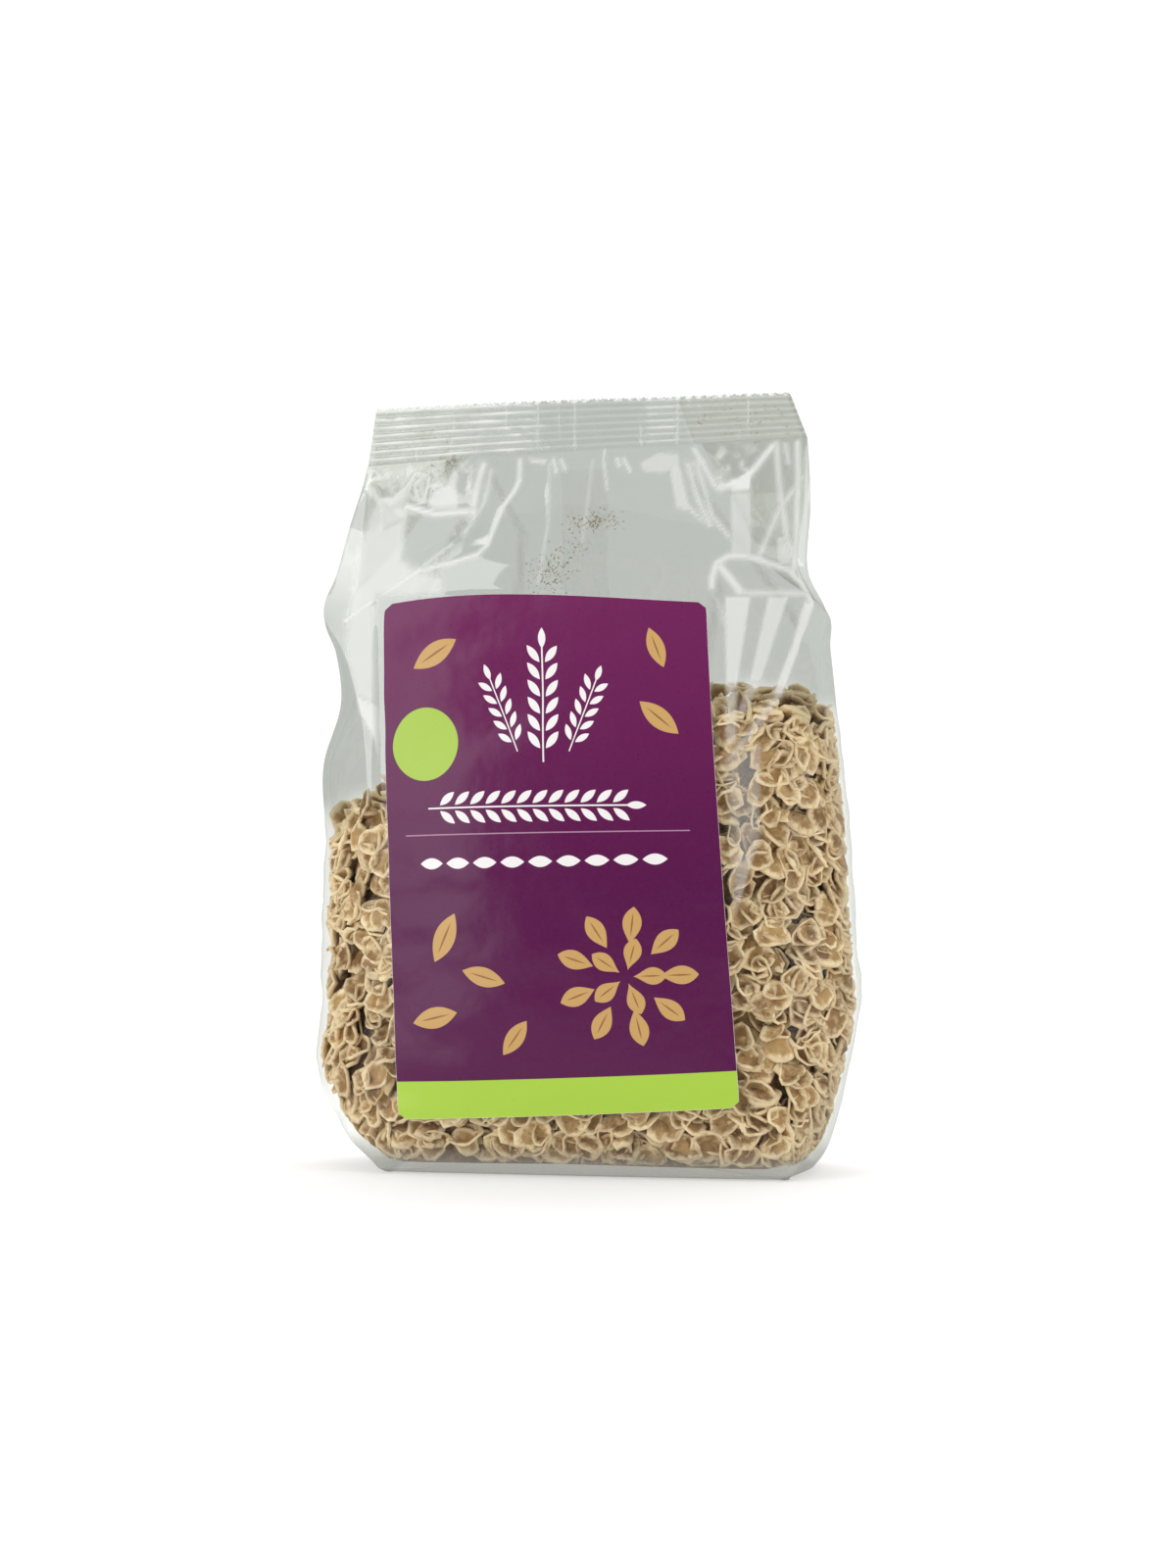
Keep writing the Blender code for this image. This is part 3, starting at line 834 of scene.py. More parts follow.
starts = [start for start, _ in WEB_STRETCHES] + [WEB_MM]
column_places = np.concatenate([
    np.linspace(low, high, count, endpoint=False)
    for low, high, (_, count) in zip(starts[:-1], starts[1:], WEB_STRETCHES)
] + [[WEB_MM]])
row_heights = np.concatenate((
    np.linspace(0.0, SLACK_START_MM, TAUT_ROWS, endpoint=False),
    np.linspace(SLACK_START_MM, BODY_TOP_MM, SLACK_ROWS + 1),
))
BODY_ROWS = TAUT_ROWS + SLACK_ROWS
rows = BASE_ROWS + BODY_ROWS + SEAL_ROWS
columns = len(column_places) - 1
film, across_web, up_web = add_grid("bag_film", columns, rows)
row = np.round(up_web * rows).astype(int)
column = np.round(across_web * columns).astype(int)
around = column_places[column]
height = row_heights[np.clip(row - BASE_ROWS, 0, BODY_ROWS)]
body = (row >= BASE_ROWS) & (row <= BASE_ROWS + BODY_ROWS)
share, region = panel_share(around % WEB_MM)
print("film grid", columns, "columns by", rows, "rows")

# %% [markdown]
# A folding machine bends the web round a former. Here each point of the grid goes to its
# place on the smooth bag, the base is drawn together, and the top leans up to the seal.

# %% Wrap it round the bag
BASE_LIFT_MM = 0.25
BASE_ROUNDING_MM = 3.0
BASE_NARROWING = 0.55

points = skin(around % WEB_MM, height)
out = skin_normals(around % WEB_MM, height)
below = np.clip(1.0 - height / BASE_ROUNDING_MM, 0.0, 1.0)
inset = BASE_ROUNDING_MM * (1.0 - np.sqrt(1.0 - below ** 2))
points[:, :2] -= inset[:, None] * out[:, :2]

# The base closes along a line from left to right.
fold = np.clip(row / BASE_ROWS, 0.0, 1.0)
points[:, 0] *= BASE_NARROWING + (1.0 - BASE_NARROWING) * fold
points[:, 1] *= fold
points[:, 2] = np.maximum(points[:, 2], BASE_LIFT_MM)

# The film's top leans up and back to the seal's foot, which is higher at the right.
left, right = level_at(height)[:2]
over = np.clip(2.0 * (points[:, 0] - shift_mm[0] + left) / (left + right) - 1.0, -1.0, 1.0)
lean = between(SEAL_FOOT_MM, over) - BODY_TOP_MM
points[:, 1] += seal_bend(points[:, 0] - shift_mm[0]) * below_seal(height) * body
points[:, 2] += lean * below_seal(height) * body
print("the wrapped web is", np.ptp(points, axis=0).round(1), "mm")

# %% [markdown]
# Handling crushes the empty top and stretches the rest over the flakes. Every point is
# pushed out or in along the bag's outward direction, by the facets, creases and flakes,
# and gets its haze, which the finish reads: how milky the film is there, with the painted
# sheens, highlights and reflections.

# %% Crush and crease it
FLAKE_BUMP_MM = 0.8
FLAKE_BUMP_PITCH_MM = 6.5
# How far the facets stand out on the gussets, in the middle of a panel and by its folds
GUSSET_SLACK = 0.6
PANEL_SLACK = (0.08, 0.6)
# Strengths of the painted sheens over the left shoulder and at the sides
SHOULDER_SHEEN_STRENGTH = 0.45
SIDE_SHEEN = 0.10
CRUSH_PITCH_MM = 2.6

x = points[:, 0] - shift_mm[0]
z = points[:, 2]
bare = 1.0 - label_cover(points)
above_heap = z - heap_top(points[:, 0], points[:, 1])
slack = smooth_step(above_heap, 2.0, 24.0) * (1.0 - smooth_step(height, 199.0, BODY_TOP_MM))
gusset = np.isin(region, (1, 3))
front = region == 2
back = ~(gusset | front)
by_folds = smooth_step(np.abs(share), 0.55, 0.9)
slack *= np.where(gusset, GUSSET_SLACK, PANEL_SLACK[0] + PANEL_SLACK[1] * by_folds)
push = facet_push(around % WEB_MM, height) * slack * bare * body

# The haze holds milky film together with painted sheens, highlights and reflections.
haze_and_sheen = np.zeros(len(row))
for panel, creases in ((front, FRONT_CREASES), (back, BACK_CREASES)):
    haze_and_sheen[panel] = crease_mark(x[panel], z[panel], creases)
push += CREST_MM * haze_and_sheen * bare * body * (1.0 - smooth_step(height, BODY_TOP_MM - 4.0, BODY_TOP_MM))
for milkiness_and_sheen, corners in MILKY_AND_SHEEN_PANES:
    haze_and_sheen[front] = np.maximum(haze_and_sheen[front], milkiness_and_sheen * pane_mark(x[front], z[front], corners))
# A painted reflection of the left softbox over the left shoulder, as milky film.
shoulder_sheen = SHOULDER_SHEEN_STRENGTH * pane_mark(x[front], z[front], SHOULDER_SHEEN, 2.0)
haze_and_sheen[front] = np.maximum(haze_and_sheen[front], shoulder_sheen)
crush = noise_at(*(np.stack((x[front], z[front], np.full(front.sum(), 7.0))) / CRUSH_PITCH_MM))
# Painted glints, and milkiness, on the crushed film under the seal
for middle_x, middle_z, reach_x, reach_z, milkiness_and_sheen in CRUSHED_GLINTS:
    patch = np.exp(-((x[front] - middle_x) / reach_x) ** 4 - ((z[front] - middle_z) / reach_z) ** 4)
    haze_and_sheen[front] = np.maximum(haze_and_sheen[front], milkiness_and_sheen * patch * smooth_step(crush, -0.1, 0.5))
# Where the film turns sideways by the gussets it is made milky, as a painted sheen of film seen at a
# slant.
sideways = smooth_step(np.abs(out[:, 0]), 0.84, 0.98)
side_sheen = SIDE_SHEEN * sideways * smooth_step(height, 4.0, 20.0)
haze_and_sheen = np.maximum(haze_and_sheen, side_sheen * (1.0 - 0.75 * smooth_step(height, 150.0, 175.0)))
haze_and_sheen *= bare * body

under = front & (bare < 1.0)
push[under] += np.maximum(label_wave(x[under], z[under]), 0.0) * (1.0 - bare[under])

# Taut film shows the flakes behind it as low bumps, always outwards.
taut = smooth_step(height, 6.0, 16.0) * (1.0 - smooth_step(above_heap, -8.0, 3.0)) * body * bare
bumps = noise_at(*(points.T / FLAKE_BUMP_PITCH_MM))
push += FLAKE_BUMP_MM * np.clip(bumps + 0.25, 0.0, 1.0) * taut
points += push[:, None] * out
print("its points move from", round(push.min(), 2), "to", round(push.max(), 2), "mm outwards")

# %% [markdown]
# Hot jaws with level ribs press the top flat: front, gussets and back in layers a fraction
# of a millimetre apart, and the jaws' knife leaves a toothed edge. Stretches of the ribs and
# a few upright streaks get painted highlights, laid on as milky film.

# %% Press the seal flat
SEAL_RIBS = 7
RIB_MM = 0.35
LAYER_MM = 0.24
TOOTH_MM = 0.8
# Painted highlights where the ribs catch the light: middle and half length of each
# stretch, how milky it is, and how ragged its ends are
BRIGHT_RIBS = ((-42.0, 27.0, 0.75, 14.0), (21.5, 4.5, 0.6, 0.0))


def seal_rib(rise):
    """How far the jaws' ribs bend the seal, from -1 to 1, at a share of its height."""
    return np.sin(2.0 * np.pi * SEAL_RIBS * rise) * smooth_step(rise, 0.0, 0.06)


rise = np.clip((row - BASE_ROWS - BODY_ROWS) / SEAL_ROWS, 0.0, 1.0)
in_seal = row > BASE_ROWS + BODY_ROWS
left, right = (
    reach * (1.0 - rise) + top_reach * rise
    for reach, top_reach in zip(LEVELS_MM[-1, 1:3], SEAL_TOP_REACH_MM)
)
panel_x = 0.5 * (right - left) + 0.5 * (right + left) * share
gusset_x = GUSSET_MM * 0.5 * (1.0 - np.abs(share))
flat_x = np.choose(region, (panel_x, -left + gusset_x, panel_x, right - gusset_x, panel_x))
flat_y = LAYER_MM * np.select((front, back), (-1.0, 1.0), share)
seal_share = 2.0 * (flat_x + left) / (left + right) - 1.0
foot = between(SEAL_FOOT_MM, seal_share)
flat_z = foot + rise * (between(SEAL_TOP_MM, seal_share) - TOOTH_MM - foot)
rib = seal_rib(rise)
teeth = TOOTH_MM * (column % 2) * (row == rows)
points[in_seal, 0] = (flat_x + shift_mm[0])[in_seal]
points[in_seal, 1] = (flat_y + seal_bend(flat_x) + RIB_MM * rib + shift_mm[1])[in_seal]
points[in_seal, 2] = (flat_z + teeth)[in_seal]
streaks = noise_at(flat_x / 9.0, flat_z / 1.3, 2.0)
upright = noise_at(flat_x / 1.6, flat_z / 22.0, 5.0)
# Painted highlights: faint upright streaks over the seal, then the bright stretches of ribs.
light = [0.45 * smooth_step(upright, 0.20, 0.60)]
for middle, reach, milkiness_and_sheen, raggedness in BRIGHT_RIBS:
    past = np.abs(flat_x - middle) + raggedness * streaks
    crests = (0.3 + 0.7 * smooth_step(-rib, 0.1, 0.8)) * (0.75 + streaks)
    light.append(milkiness_and_sheen * (1.0 - smooth_step(past, reach - 1.5, reach + 1.5)) * crests)
haze_and_sheen = np.where(in_seal & front, np.maximum(haze_and_sheen, np.max(light, axis=0)), haze_and_sheen)
# The top two rows of the front seal are made milky in patches.
milky_top_rows = (rows - row < 2) & front
haze_and_sheen = np.where(milky_top_rows, np.maximum(haze_and_sheen, 0.9 * smooth_step(upright, -0.2, 0.3)), haze_and_sheen)
print("the seal is", round(float(np.ptp(points[in_seal, 0])), 1), "mm wide with", SEAL_RIBS, "ribs")

# %% [markdown]
# Last come the film's other two values, slackness and greyness. The greyness is painted
# shade: it tints the slack film, the film turned sideways, the foot and the seal grey, and one
# side of each rib greyer. The ends of the seal are clearer than its middle, as are the layers
# of the gussets, so that four layers of film don't look twice as grey as two.

# %% Finish the film
SEAL_SLACKNESS = 0.45
DARK_PANE_STRENGTH = 0.85
SIDE_SHADE_GREY = 0.35
FOOT_MILK = 0.22
FILM_CREASE = math.radians(32.0)

slackness = smooth_step(above_heap, -5.0, 7.0)
layered = gusset * smooth_step(height, 158.0, 176.0)
# Painted shade: slack film and film turned sideways are tinted grey.
shade_grey = np.maximum(slackness, SIDE_SHADE_GREY * sideways) * (1.0 - 0.9 * layered)
# Painted shade: the pane on the left shoulder mirrors less.
slackness[front] *= 1.0 - DARK_PANE_STRENGTH * pane_mark(x[front], z[front], PAINTED_DARK_PANE, 1.0)
# Painted shade on the seal: grey in its middle, clearer towards its ends on the front, and greyer on one
# side of each rib.
seal_shade_grey = 1.10 - 0.34 * smooth_step(np.abs(share), 0.44, 0.52) * front + 0.14 * rib
shade_grey = np.where(in_seal, seal_shade_grey * ~gusset, shade_grey)
# The film's foot is milky, and is tinted its greyest as painted shade at the base.
foot_film = (1.0 - smooth_step(height, 2.0, 10.0)) * (row >= BASE_ROWS)
haze_and_sheen = np.maximum(haze_and_sheen, FOOT_MILK * foot_film * body)
place_points(film, points)
mark_film(film, np.where(in_seal, SEAL_SLACKNESS, slackness), np.maximum(shade_grey, foot_film), haze_and_sheen)
weld(film)
only(film)
bpy.ops.object.shade_smooth_by_angle(angle=FILM_CREASE)
hand_over(film, "film", clear_film, "film_bag")

# %% [markdown]
# ## The flakes
#
# Rolled oats are steamed groats pressed flat, so each is a thin oval with a thick rim, and
# it dries into a cup with a ruffled lip. Its finish paints the rim paler and the middle
# browner, partly as painted highlight and painted shade. One flake is modelled from a disc,
# with a wall round it that gives the rim its thickness.
# The lowest ring of the wall is merged to one point, which closes the flake underneath.

# %% Model one flake
FLAKE_SIDES = 12
FLAKE_RINGS = (0.17, 0.34)

deselect()
bpy.ops.mesh.primitive_circle_add(vertices=FLAKE_SIDES, radius=1.0, fill_type="TRIFAN")
pattern = bpy.context.object
edit(
    pattern,
    ("inset", {"thickness": FLAKE_RINGS[0], "use_even_offset": True}),
    ("inset", {"thickness": FLAKE_RINGS[1], "use_even_offset": True}),
)
edit(
    pattern,
    ("select_all", {"action": "DESELECT"}),
    ("select_non_manifold", {}),
    ("extrude_edges_move", {"TRANSFORM_OT_translate": {"value": (0.0, 0.0, -1.0)}}),
    ("extrude_edges_move", {"TRANSFORM_OT_translate": {"value": (0.0, 0.0, -0.5)}}),
    ("merge", {"type": "CENTER"}),
    ("select_all", {"action": "SELECT"}),
    ("normals_make_consistent", {"inside": False}),
)
flake_points, flake_faces = take_pattern(pattern)
flake_radius = np.hypot(flake_points[:, 0], flake_points[:, 1])
flake_under = flake_points[:, 2] < -0.5
flake_turn = np.arctan2(flake_points[:, 1], flake_points[:, 0]) / (2.0 * np.pi)
flake_sector = np.round(flake_turn * FLAKE_SIDES).astype(int) % FLAKE_SIDES
print("one flake has", len(flake_points), "points and", len(flake_faces), "faces")

# %% [markdown]
# No two flakes are alike, so each copy gets its own random draw: its length and width, an
# uneven outline, a ruffled rim, a cup, a dent or two, and a bend about its long axis.

# %% Shape the copies
FLAKE_LENGTH_MM = (4.2, 5.7)
FLAKE_ROUNDNESS = (0.74, 0.98)
FLAKE_THICKNESS_MM = (0.8, 1.2)
RIM_LIFT_MM = 0.3
RIM_THINNING = 0.25
UNDERSIDE_SHRINK = 0.05
RUFFLE_MM = 1.2
# The outline's waves: how many go round the flake, and how strong they are
OUTLINE_WAVES = ((2, 0.10), (3, 0.12), (5, 0.09))
LEAST_BEND = 1e-4


def shape_flakes(count, draw, cup, curl, crumple):
    """The points of many flakes about their own centres, each a little different."""
    length = draw.uniform(*FLAKE_LENGTH_MM, count)[:, None]
    width = length * draw.uniform(*FLAKE_ROUNDNESS, count)[:, None]
    turn = 2.0 * np.pi * flake_turn
    uneven = 1.0
    wavy = 0.0
    for lobes, strength in OUTLINE_WAVES:
        phase = draw.uniform(0.0, 2.0 * np.pi, (count, 1))
        uneven = uneven + strength * draw.uniform(0.3, 1.0, (count, 1)) * np.sin(lobes * turn + phase)
        wavy = wavy + draw.uniform(-1.0, 1.0, (count, 1)) * np.sin(lobes * turn + 2.0 * phase) / lobes
    uneven = uneven * (1.0 - UNDERSIDE_SHRINK * flake_under)
    x = flake_points[:, 0] * length * uneven
    y = flake_points[:, 1] * width * uneven
    thickness = draw.uniform(*FLAKE_THICKNESS_MM, (count, 1))
    z = RIM_LIFT_MM * smooth_step(flake_radius, 0.5, 0.8) - thickness * flake_under
    z = z - RIM_THINNING * thickness * (flake_radius > 0.95)
    z = z + RUFFLE_MM * wavy * flake_radius ** 2
    dents = draw.uniform(-crumple, crumple, (count, FLAKE_SIDES))
    z = z + dents[:, flake_sector] * (flake_radius > 0.3)
    z = z + draw.uniform(*cup, count)[:, None] * flake_radius ** 2
    bend = draw.uniform(*curl, count)[:, None] / width
    angle = y * bend
    safe = np.where(np.abs(bend) < LEAST_BEND, LEAST_BEND, bend)
    y_bent = np.sin(angle) / safe - z * np.sin(angle)
    z_bent = (1.0 - np.cos(angle)) / safe + z * np.cos(angle)
    return np.stack((x, y_bent, z_bent), axis=2)


# %% [markdown]
# The film shapes the heap too, as flakes against it lie mostly flat to it. Each copy is
# spun at random, stood up to face out of the bag, and its face is tilted up.

# %% Turn them to the film
LEAN_SCATTER = 0.45


def turned(axis, angle):
    """Rotation matrices from unit axes and angles, by the rule of Rodrigues."""
    x, y, z = axis.T
    zero = np.zeros(len(axis))
    cross = np.array(((zero, -z, y), (z, zero, -x), (-y, x, zero))).transpose(2, 0, 1)
    sine = np.sin(angle)[:, None, None]
    cosine = np.cos(angle)[:, None, None]
    return np.eye(3) + sine * cross + (1.0 - cosine) * (cross @ cross)


def face_out(shapes, out, draw, tilt):
    """Turn each flake to face out of the bag, spun at random, its face tilted up."""
    count = len(shapes)
    up = np.tile((0.0, 0.0, 1.0), (count, 1))
    spin = turned(up, draw.uniform(0.0, 2.0 * np.pi, count))
    axis = np.cross(up, out)
    length = np.linalg.norm(axis, axis=1)
    axis = np.where(length[:, None] > 1e-6, axis / np.maximum(length, 1e-9)[:, None], (1.0, 0.0, 0.0))
    stand = turned(axis, np.arccos(np.clip(out[:, 2], -1.0, 1.0)))
    lean_axis = draw.normal(size=(count, 3)) * LEAN_SCATTER - axis
    lean_axis /= np.linalg.norm(lean_axis, axis=1)[:, None]
    lean = turned(lean_axis, tilt)
    return np.einsum("nij,nkj->nki", lean @ stand @ spin, shapes)


# %% [markdown]
# No flake can pass through the film, so each is moved in until it clears the film, and
# what still crosses is pressed back.

# %% Keep them inside the bag
# The flakes don't fill the bag's lowest corners, where the folded base holds the film out:
# how far they stay back all round, and how much further at the left and at the right.
HEAP_FOOT_MM = 3.6
HEAP_ROUNDING_MM = 22.0
HEAP_FOOT_INSET_MM = (2.0, 7.0, 2.5)
# Nor do they reach right out to the gussets, whose folds hold the film off them.
SIDE_GAP_MM = 0.5
FILM_GAP_MM = 0.35
DEEPEST_SHIFT_MM = 3.5


def past_film(points):
    """How far each point stands past the film, less a gap, and its radius."""
    radius = np.hypot(points[:, 0], points[:, 1])
    low = np.clip(1.0 - points[:, 2] / HEAP_ROUNDING_MM, 0.0, 1.0) ** 2
    across = np.abs(points[:, 0]) / np.maximum(radius, 1e-6)
    all_round, at_left, at_right = HEAP_FOOT_INSET_MM
    sideways = np.where(points[:, 0] < 0.0, at_left, at_right)
    limit = bag_radius(points) - FILM_GAP_MM - low * (all_round + sideways * across ** 4)
    return radius - limit + SIDE_GAP_MM * across ** 6, np.maximum(radius, 1e-6)


def keep_inside(points):
    """Move each flake in from the film and up off the base, then press in what still crosses."""
    count = points.shape[1]
    flat = points.reshape(-1, 3)
    past, radius = past_film(flat)
    shift = np.clip(past.reshape(-1, count).max(axis=1), 0.0, DEEPEST_SHIFT_MM)
    centres = points.mean(axis=1)[:, :2]
    inwards = centres / np.maximum(np.linalg.norm(centres, axis=1), 1e-6)[:, None]
    points[:, :, :2] -= (inwards * shift[:, None])[:, None, :]
    points[:, :, 2] += np.clip(HEAP_FOOT_MM - points[:, :, 2].min(axis=1), 0.0, DEEPEST_SHIFT_MM)[:, None]
    flat = points.reshape(-1, 3)
    flat[:, 2] = np.maximum(flat[:, 2], HEAP_FOOT_MM)
    past, radius = past_film(flat)
    flat[:, :2] *= (1.0 - np.maximum(past, 0.0) / radius)[:, None]
    return flat


def join_flakes(name, shapes, centres, tones):
    """One mesh of all the flakes, with each point's place on its flake and its tone."""
    count = len(centres)
    piece = join_copies(name, keep_inside(shapes + centres[:, None, :]), flake_faces, count)
    piece.data.shade_smooth()
    local = np.tile(flake_points * (1.0, 1.0, 0.0), (count, 1))
    add_attribute(piece, "flake_place", "FLOAT_VECTOR", local)
    add_attribute(piece, "flake_tone", "FLOAT", np.repeat(tones, len(flake_points)))
    return piece


# %% [markdown]
# ## The finish of the flakes
#
# Each flake is toasted straw in the middle and cream towards the thick rim, with specks of
# bran; the darker middle is partly painted shade of its cup, and the cream rim partly a
# painted highlight. Two values that were stored when the flakes were copied drive it: the
# place on the flake, and one random tone for each flake.

# %% Flake finish
def flake_finish():
    finish = Finish("oat_flake")
    place = finish.object_place()
    x, y, _ = finish.parts(finish.attribute("flake_place", "Vector"))
    tone = finish.attribute("flake_tone")
    radius = (x * x + y * y) ** 0.5
    cloud = finish.noise(place, 420.0, 3.0, 0.6)
    specks = finish.noise(place, 1700.0, 2.0, 0.6)
    # The brown middle and the cream rim are partly painted shade and painted highlight.
    middle = finish.mix(tone, (0.200, 0.093, 0.028), (0.485, 0.300, 0.115))
    middle = finish.mix(cloud.ramp(0.42, 0.70) * 0.6, middle, (0.68, 0.49, 0.245))
    middle = finish.mix((1.0 - specks.ramp(0.32, 0.45)) * 0.6, middle, (0.22, 0.105, 0.04))
    rim_and_highlight = (radius + (cloud - 0.5) * 0.9).ramp(0.52, 0.98)
    colour = finish.mix(rim_and_highlight * (0.66 + 0.34 * tone), middle, (0.95, 0.775, 0.495))
    normal = finish.bump(specks * 0.4 + cloud, 0.0004, 0.6)
    return finish.surface(finish.principled(base_color=colour, roughness=0.72, normal=normal))


oat_flake = flake_finish()

# %% [markdown]
# ## Filling the bag
#
# A real bag holds thousands of flakes, but only the outer few millimetres show. So the
# flakes are laid in three shells against the film and over the heap, on a dark core that
# closes the gaps.

# %% Places for the flakes
FLAKE_STEP_MM = 7.0
FLAKE_JITTER = 0.4
SHELL_TOP_MM = 142.0
SHELL_DEPTHS_MM = (1.6, 4.4, 7.2)
HEAP_REACH_MM = (78.0, 38.0)
HEAP_JITTER_MM = 2.6
HEAP_EDGE_MM = 2.5
HEAP_OUT = (-0.19, -0.10, 0.97)


def shell_places(depth, draw):
    """Jittered places all round the bag, a depth inside the film and below the heap's top."""
    columns = int(WEB_MM / FLAKE_STEP_MM)
    levels = int(SHELL_TOP_MM / FLAKE_STEP_MM)
    a, b = np.meshgrid(np.arange(columns), np.arange(levels))
    jitter = [draw.uniform(-FLAKE_JITTER, FLAKE_JITTER, a.size) for _ in range(2)]
    a = (a.ravel() + 0.5 * (b.ravel() % 2) + jitter[0]) / columns * WEB_MM % WEB_MM
    b = (b.ravel() + 0.5 + jitter[1]) / levels * SHELL_TOP_MM
    out = skin_normals(a, b)
    centres = skin(a, b) - depth * out
    keep = centres[:, 2] < heap_top(centres[:, 0], centres[:, 1]) - 1.0
    return centres[keep], out[keep]


def heap_places(depth, draw):
    """Jittered places over the heap's top, and which way each faces."""
    x, y = np.meshgrid(*(np.arange(-reach, reach + 1.0, FLAKE_STEP_MM) for reach in HEAP_REACH_MM))
    x = x.ravel() + draw.uniform(-HEAP_JITTER_MM, HEAP_JITTER_MM, x.size)
    y = y.ravel() + draw.uniform(-HEAP_JITTER_MM, HEAP_JITTER_MM, y.size)
    centres = np.stack((x, y, heap_top(x, y) - depth), axis=1)
    keep = np.hypot(x, y) < bag_radius(centres) - HEAP_EDGE_MM
    out = np.tile(HEAP_OUT, (len(x), 1))
    return centres[keep], out[keep]


# %% [markdown]
# Each of three kinds takes a third of the places at random, which mixes them. Most flakes
# lie nearly flat to the film, a few stand on edge, and a quarter are laid upside down.

# %% Lay the flakes
# Each kind: how far its flakes are cupped, curled and crumpled
FLAKE_KINDS = {
    "open_flakes": ((1.0, 2.4), (-0.3, 0.5), 0.32),
    "curled_flakes": ((1.2, 2.8), (0.3, 1.1), 0.42),
    "crumpled_flakes": ((0.5, 1.9), (-0.6, 0.8), 0.80),
}
# The mean and the spread of the flakes' tilt and of their tone
TILT = (0.40, 0.26)
TONE = (0.55, 0.30)
ON_EDGE_SHARE = 0.08
ON_EDGE_TILT = (0.9, 1.4)
FLIPPED_SHARE = 0.25
FLAKE_SEED = 41


def lay_flakes(name, cup, curl, crumple, draw):
    """One kind of flake, in every shell."""
    centres = []
    outs = []
    for depth in SHELL_DEPTHS_MM:
        for places in (shell_places, heap_places):
            where, out = places(depth, draw)
            pick = draw.random(len(where)) < 1.0 / len(FLAKE_KINDS)
            centres.append(where[pick])
            outs.append(out[pick])
    centres = np.concatenate(centres)
    count = len(centres)
    tilt = draw.normal(*TILT, count)
    on_edge = draw.random(count) < ON_EDGE_SHARE
    tilt = np.where(on_edge, draw.uniform(*ON_EDGE_TILT, count), tilt)
    flip = draw.random(count) < FLIPPED_SHARE
    shapes = shape_flakes(count, draw, cup, curl, crumple)
    shapes[flip] *= (1.0, 1.0, -1.0)
    shapes = face_out(shapes, np.concatenate(outs), draw, tilt)
    tones = np.clip(draw.normal(*TONE, count), 0.0, 1.0)
    hand_over(join_flakes(name, shapes, centres, tones), "oats", oat_flake, "film_bag")


flake_draw = np.random.default_rng(FLAKE_SEED)
for kind, (cup, curl, crumple) in FLAKE_KINDS.items():
    lay_flakes(kind, cup, curl, crumple, flake_draw)

# %% [markdown]
# ## Dust and crumbs
#
# Handling rubs tan meal off the flakes, and some of it clings to the inside of the film in
# loose patches and in the seal. One crumb is a low ball with its points moved at random,
# and copies of it are scattered thickly near the middle of each patch.

# %% Scatter the crumbs
# Each patch: its middle as x and height, its reach each way, and how many crumbs
CRUMB_PATCHES = (
    (4.5, 186.5, 8.0, 3.6, 190), (-7.5, 171.5, 7.0, 7.0, 200), (-1.0, 179.0, 6.0, 5.0, 40),
    (-43.0, 208.5, 4.6, 5.6, 110), (-33.5, 191.5, 1.6, 4.0, 24), (-50.0, 214.0, 12.0, 5.0, 40),
    (48.0, 216.0, 13.0, 5.0, 60), (34.0, 217.5, 2.5, 2.5, 20),
)
CRUMB_MM = (0.12, 0.30)
CRUMB_LUMPS = (0.6, 1.2)
# How flat the crumbs are, in the open and pressed in the seal
CRUMB_FLATNESS = (0.8, 0.4)
CRUMB_INSET_MM = 0.3
CRUMB_SEED = 7

deselect()
bpy.ops.mesh.primitive_ico_sphere_add(subdivisions=1, radius=1.0)
crumb_points, crumb_faces = take_pattern(bpy.context.object)
crumb_draw = np.random.default_rng(CRUMB_SEED)
places = np.concatenate([
    crumb_draw.normal(size=(count, 2)) * (0.5 * reach_x, 0.5 * reach_z) + (middle_x, middle_z)
    for middle_x, middle_z, reach_x, reach_z, count in CRUMB_PATCHES
])
sealed = places[:, 1] > BODY_TOP_MM
level = np.minimum(places[:, 1], BODY_TOP_MM)
bend = seal_bend(places[:, 0])
settled = skin(front_place(places[:, 0], level), level)
settled[:, 1] += CRUMB_INSET_MM + bend * below_seal(level)

# Crumbs in the seal lie between its layers, and follow its ribs.
left, right = level_at(level)[:2]
over = 2.0 * (places[:, 0] + left) / (left + right) - 1.0
foot = between(SEAL_FOOT_MM, over)
rise = np.clip((places[:, 1] - foot) / (between(SEAL_TOP_MM, over) - TOOTH_MM - foot), 0.0, 1.0)
pressed = np.column_stack((places[:, 0], bend + RIB_MM * seal_rib(rise), places[:, 1]))
settled[sealed] = (pressed + (*shift_mm, 0.0))[sealed]

sizes = crumb_draw.uniform(*CRUMB_MM, (len(places), 1, 1))
lumps = crumb_draw.uniform(*CRUMB_LUMPS, (len(places), len(crumb_points), 1))
crumbs = crumb_points[None] * sizes * lumps
crumbs[:, :, 1] *= np.where(sealed, CRUMB_FLATNESS[1], CRUMB_FLATNESS[0])[:, None]
crumbs = (crumbs + settled[:, None, :]).reshape(-1, 3)
crumb_piece = join_copies("oat_crumbs", crumbs, crumb_faces, len(places))


def meal_finish():
    finish = Finish("oat_meal")
    cloud = finish.noise(finish.object_place(), 900.0, 2.0, 0.5)
    colour = finish.mix(cloud.ramp(0.3, 0.7), (0.47, 0.37, 0.245), (0.68, 0.57, 0.42))
    return finish.surface(finish.principled(base_color=colour, roughness=0.8))


hand_over(crumb_piece, "oats", meal_finish(), "film_bag")
print(len(places), "crumbs")

# %% [markdown]
# ## The core of the heap
#
# Behind the shells of flakes the bag is simply full. A core with the bag's own form, some
# millimetres inside the film, keeps light and sight from passing between the flakes.

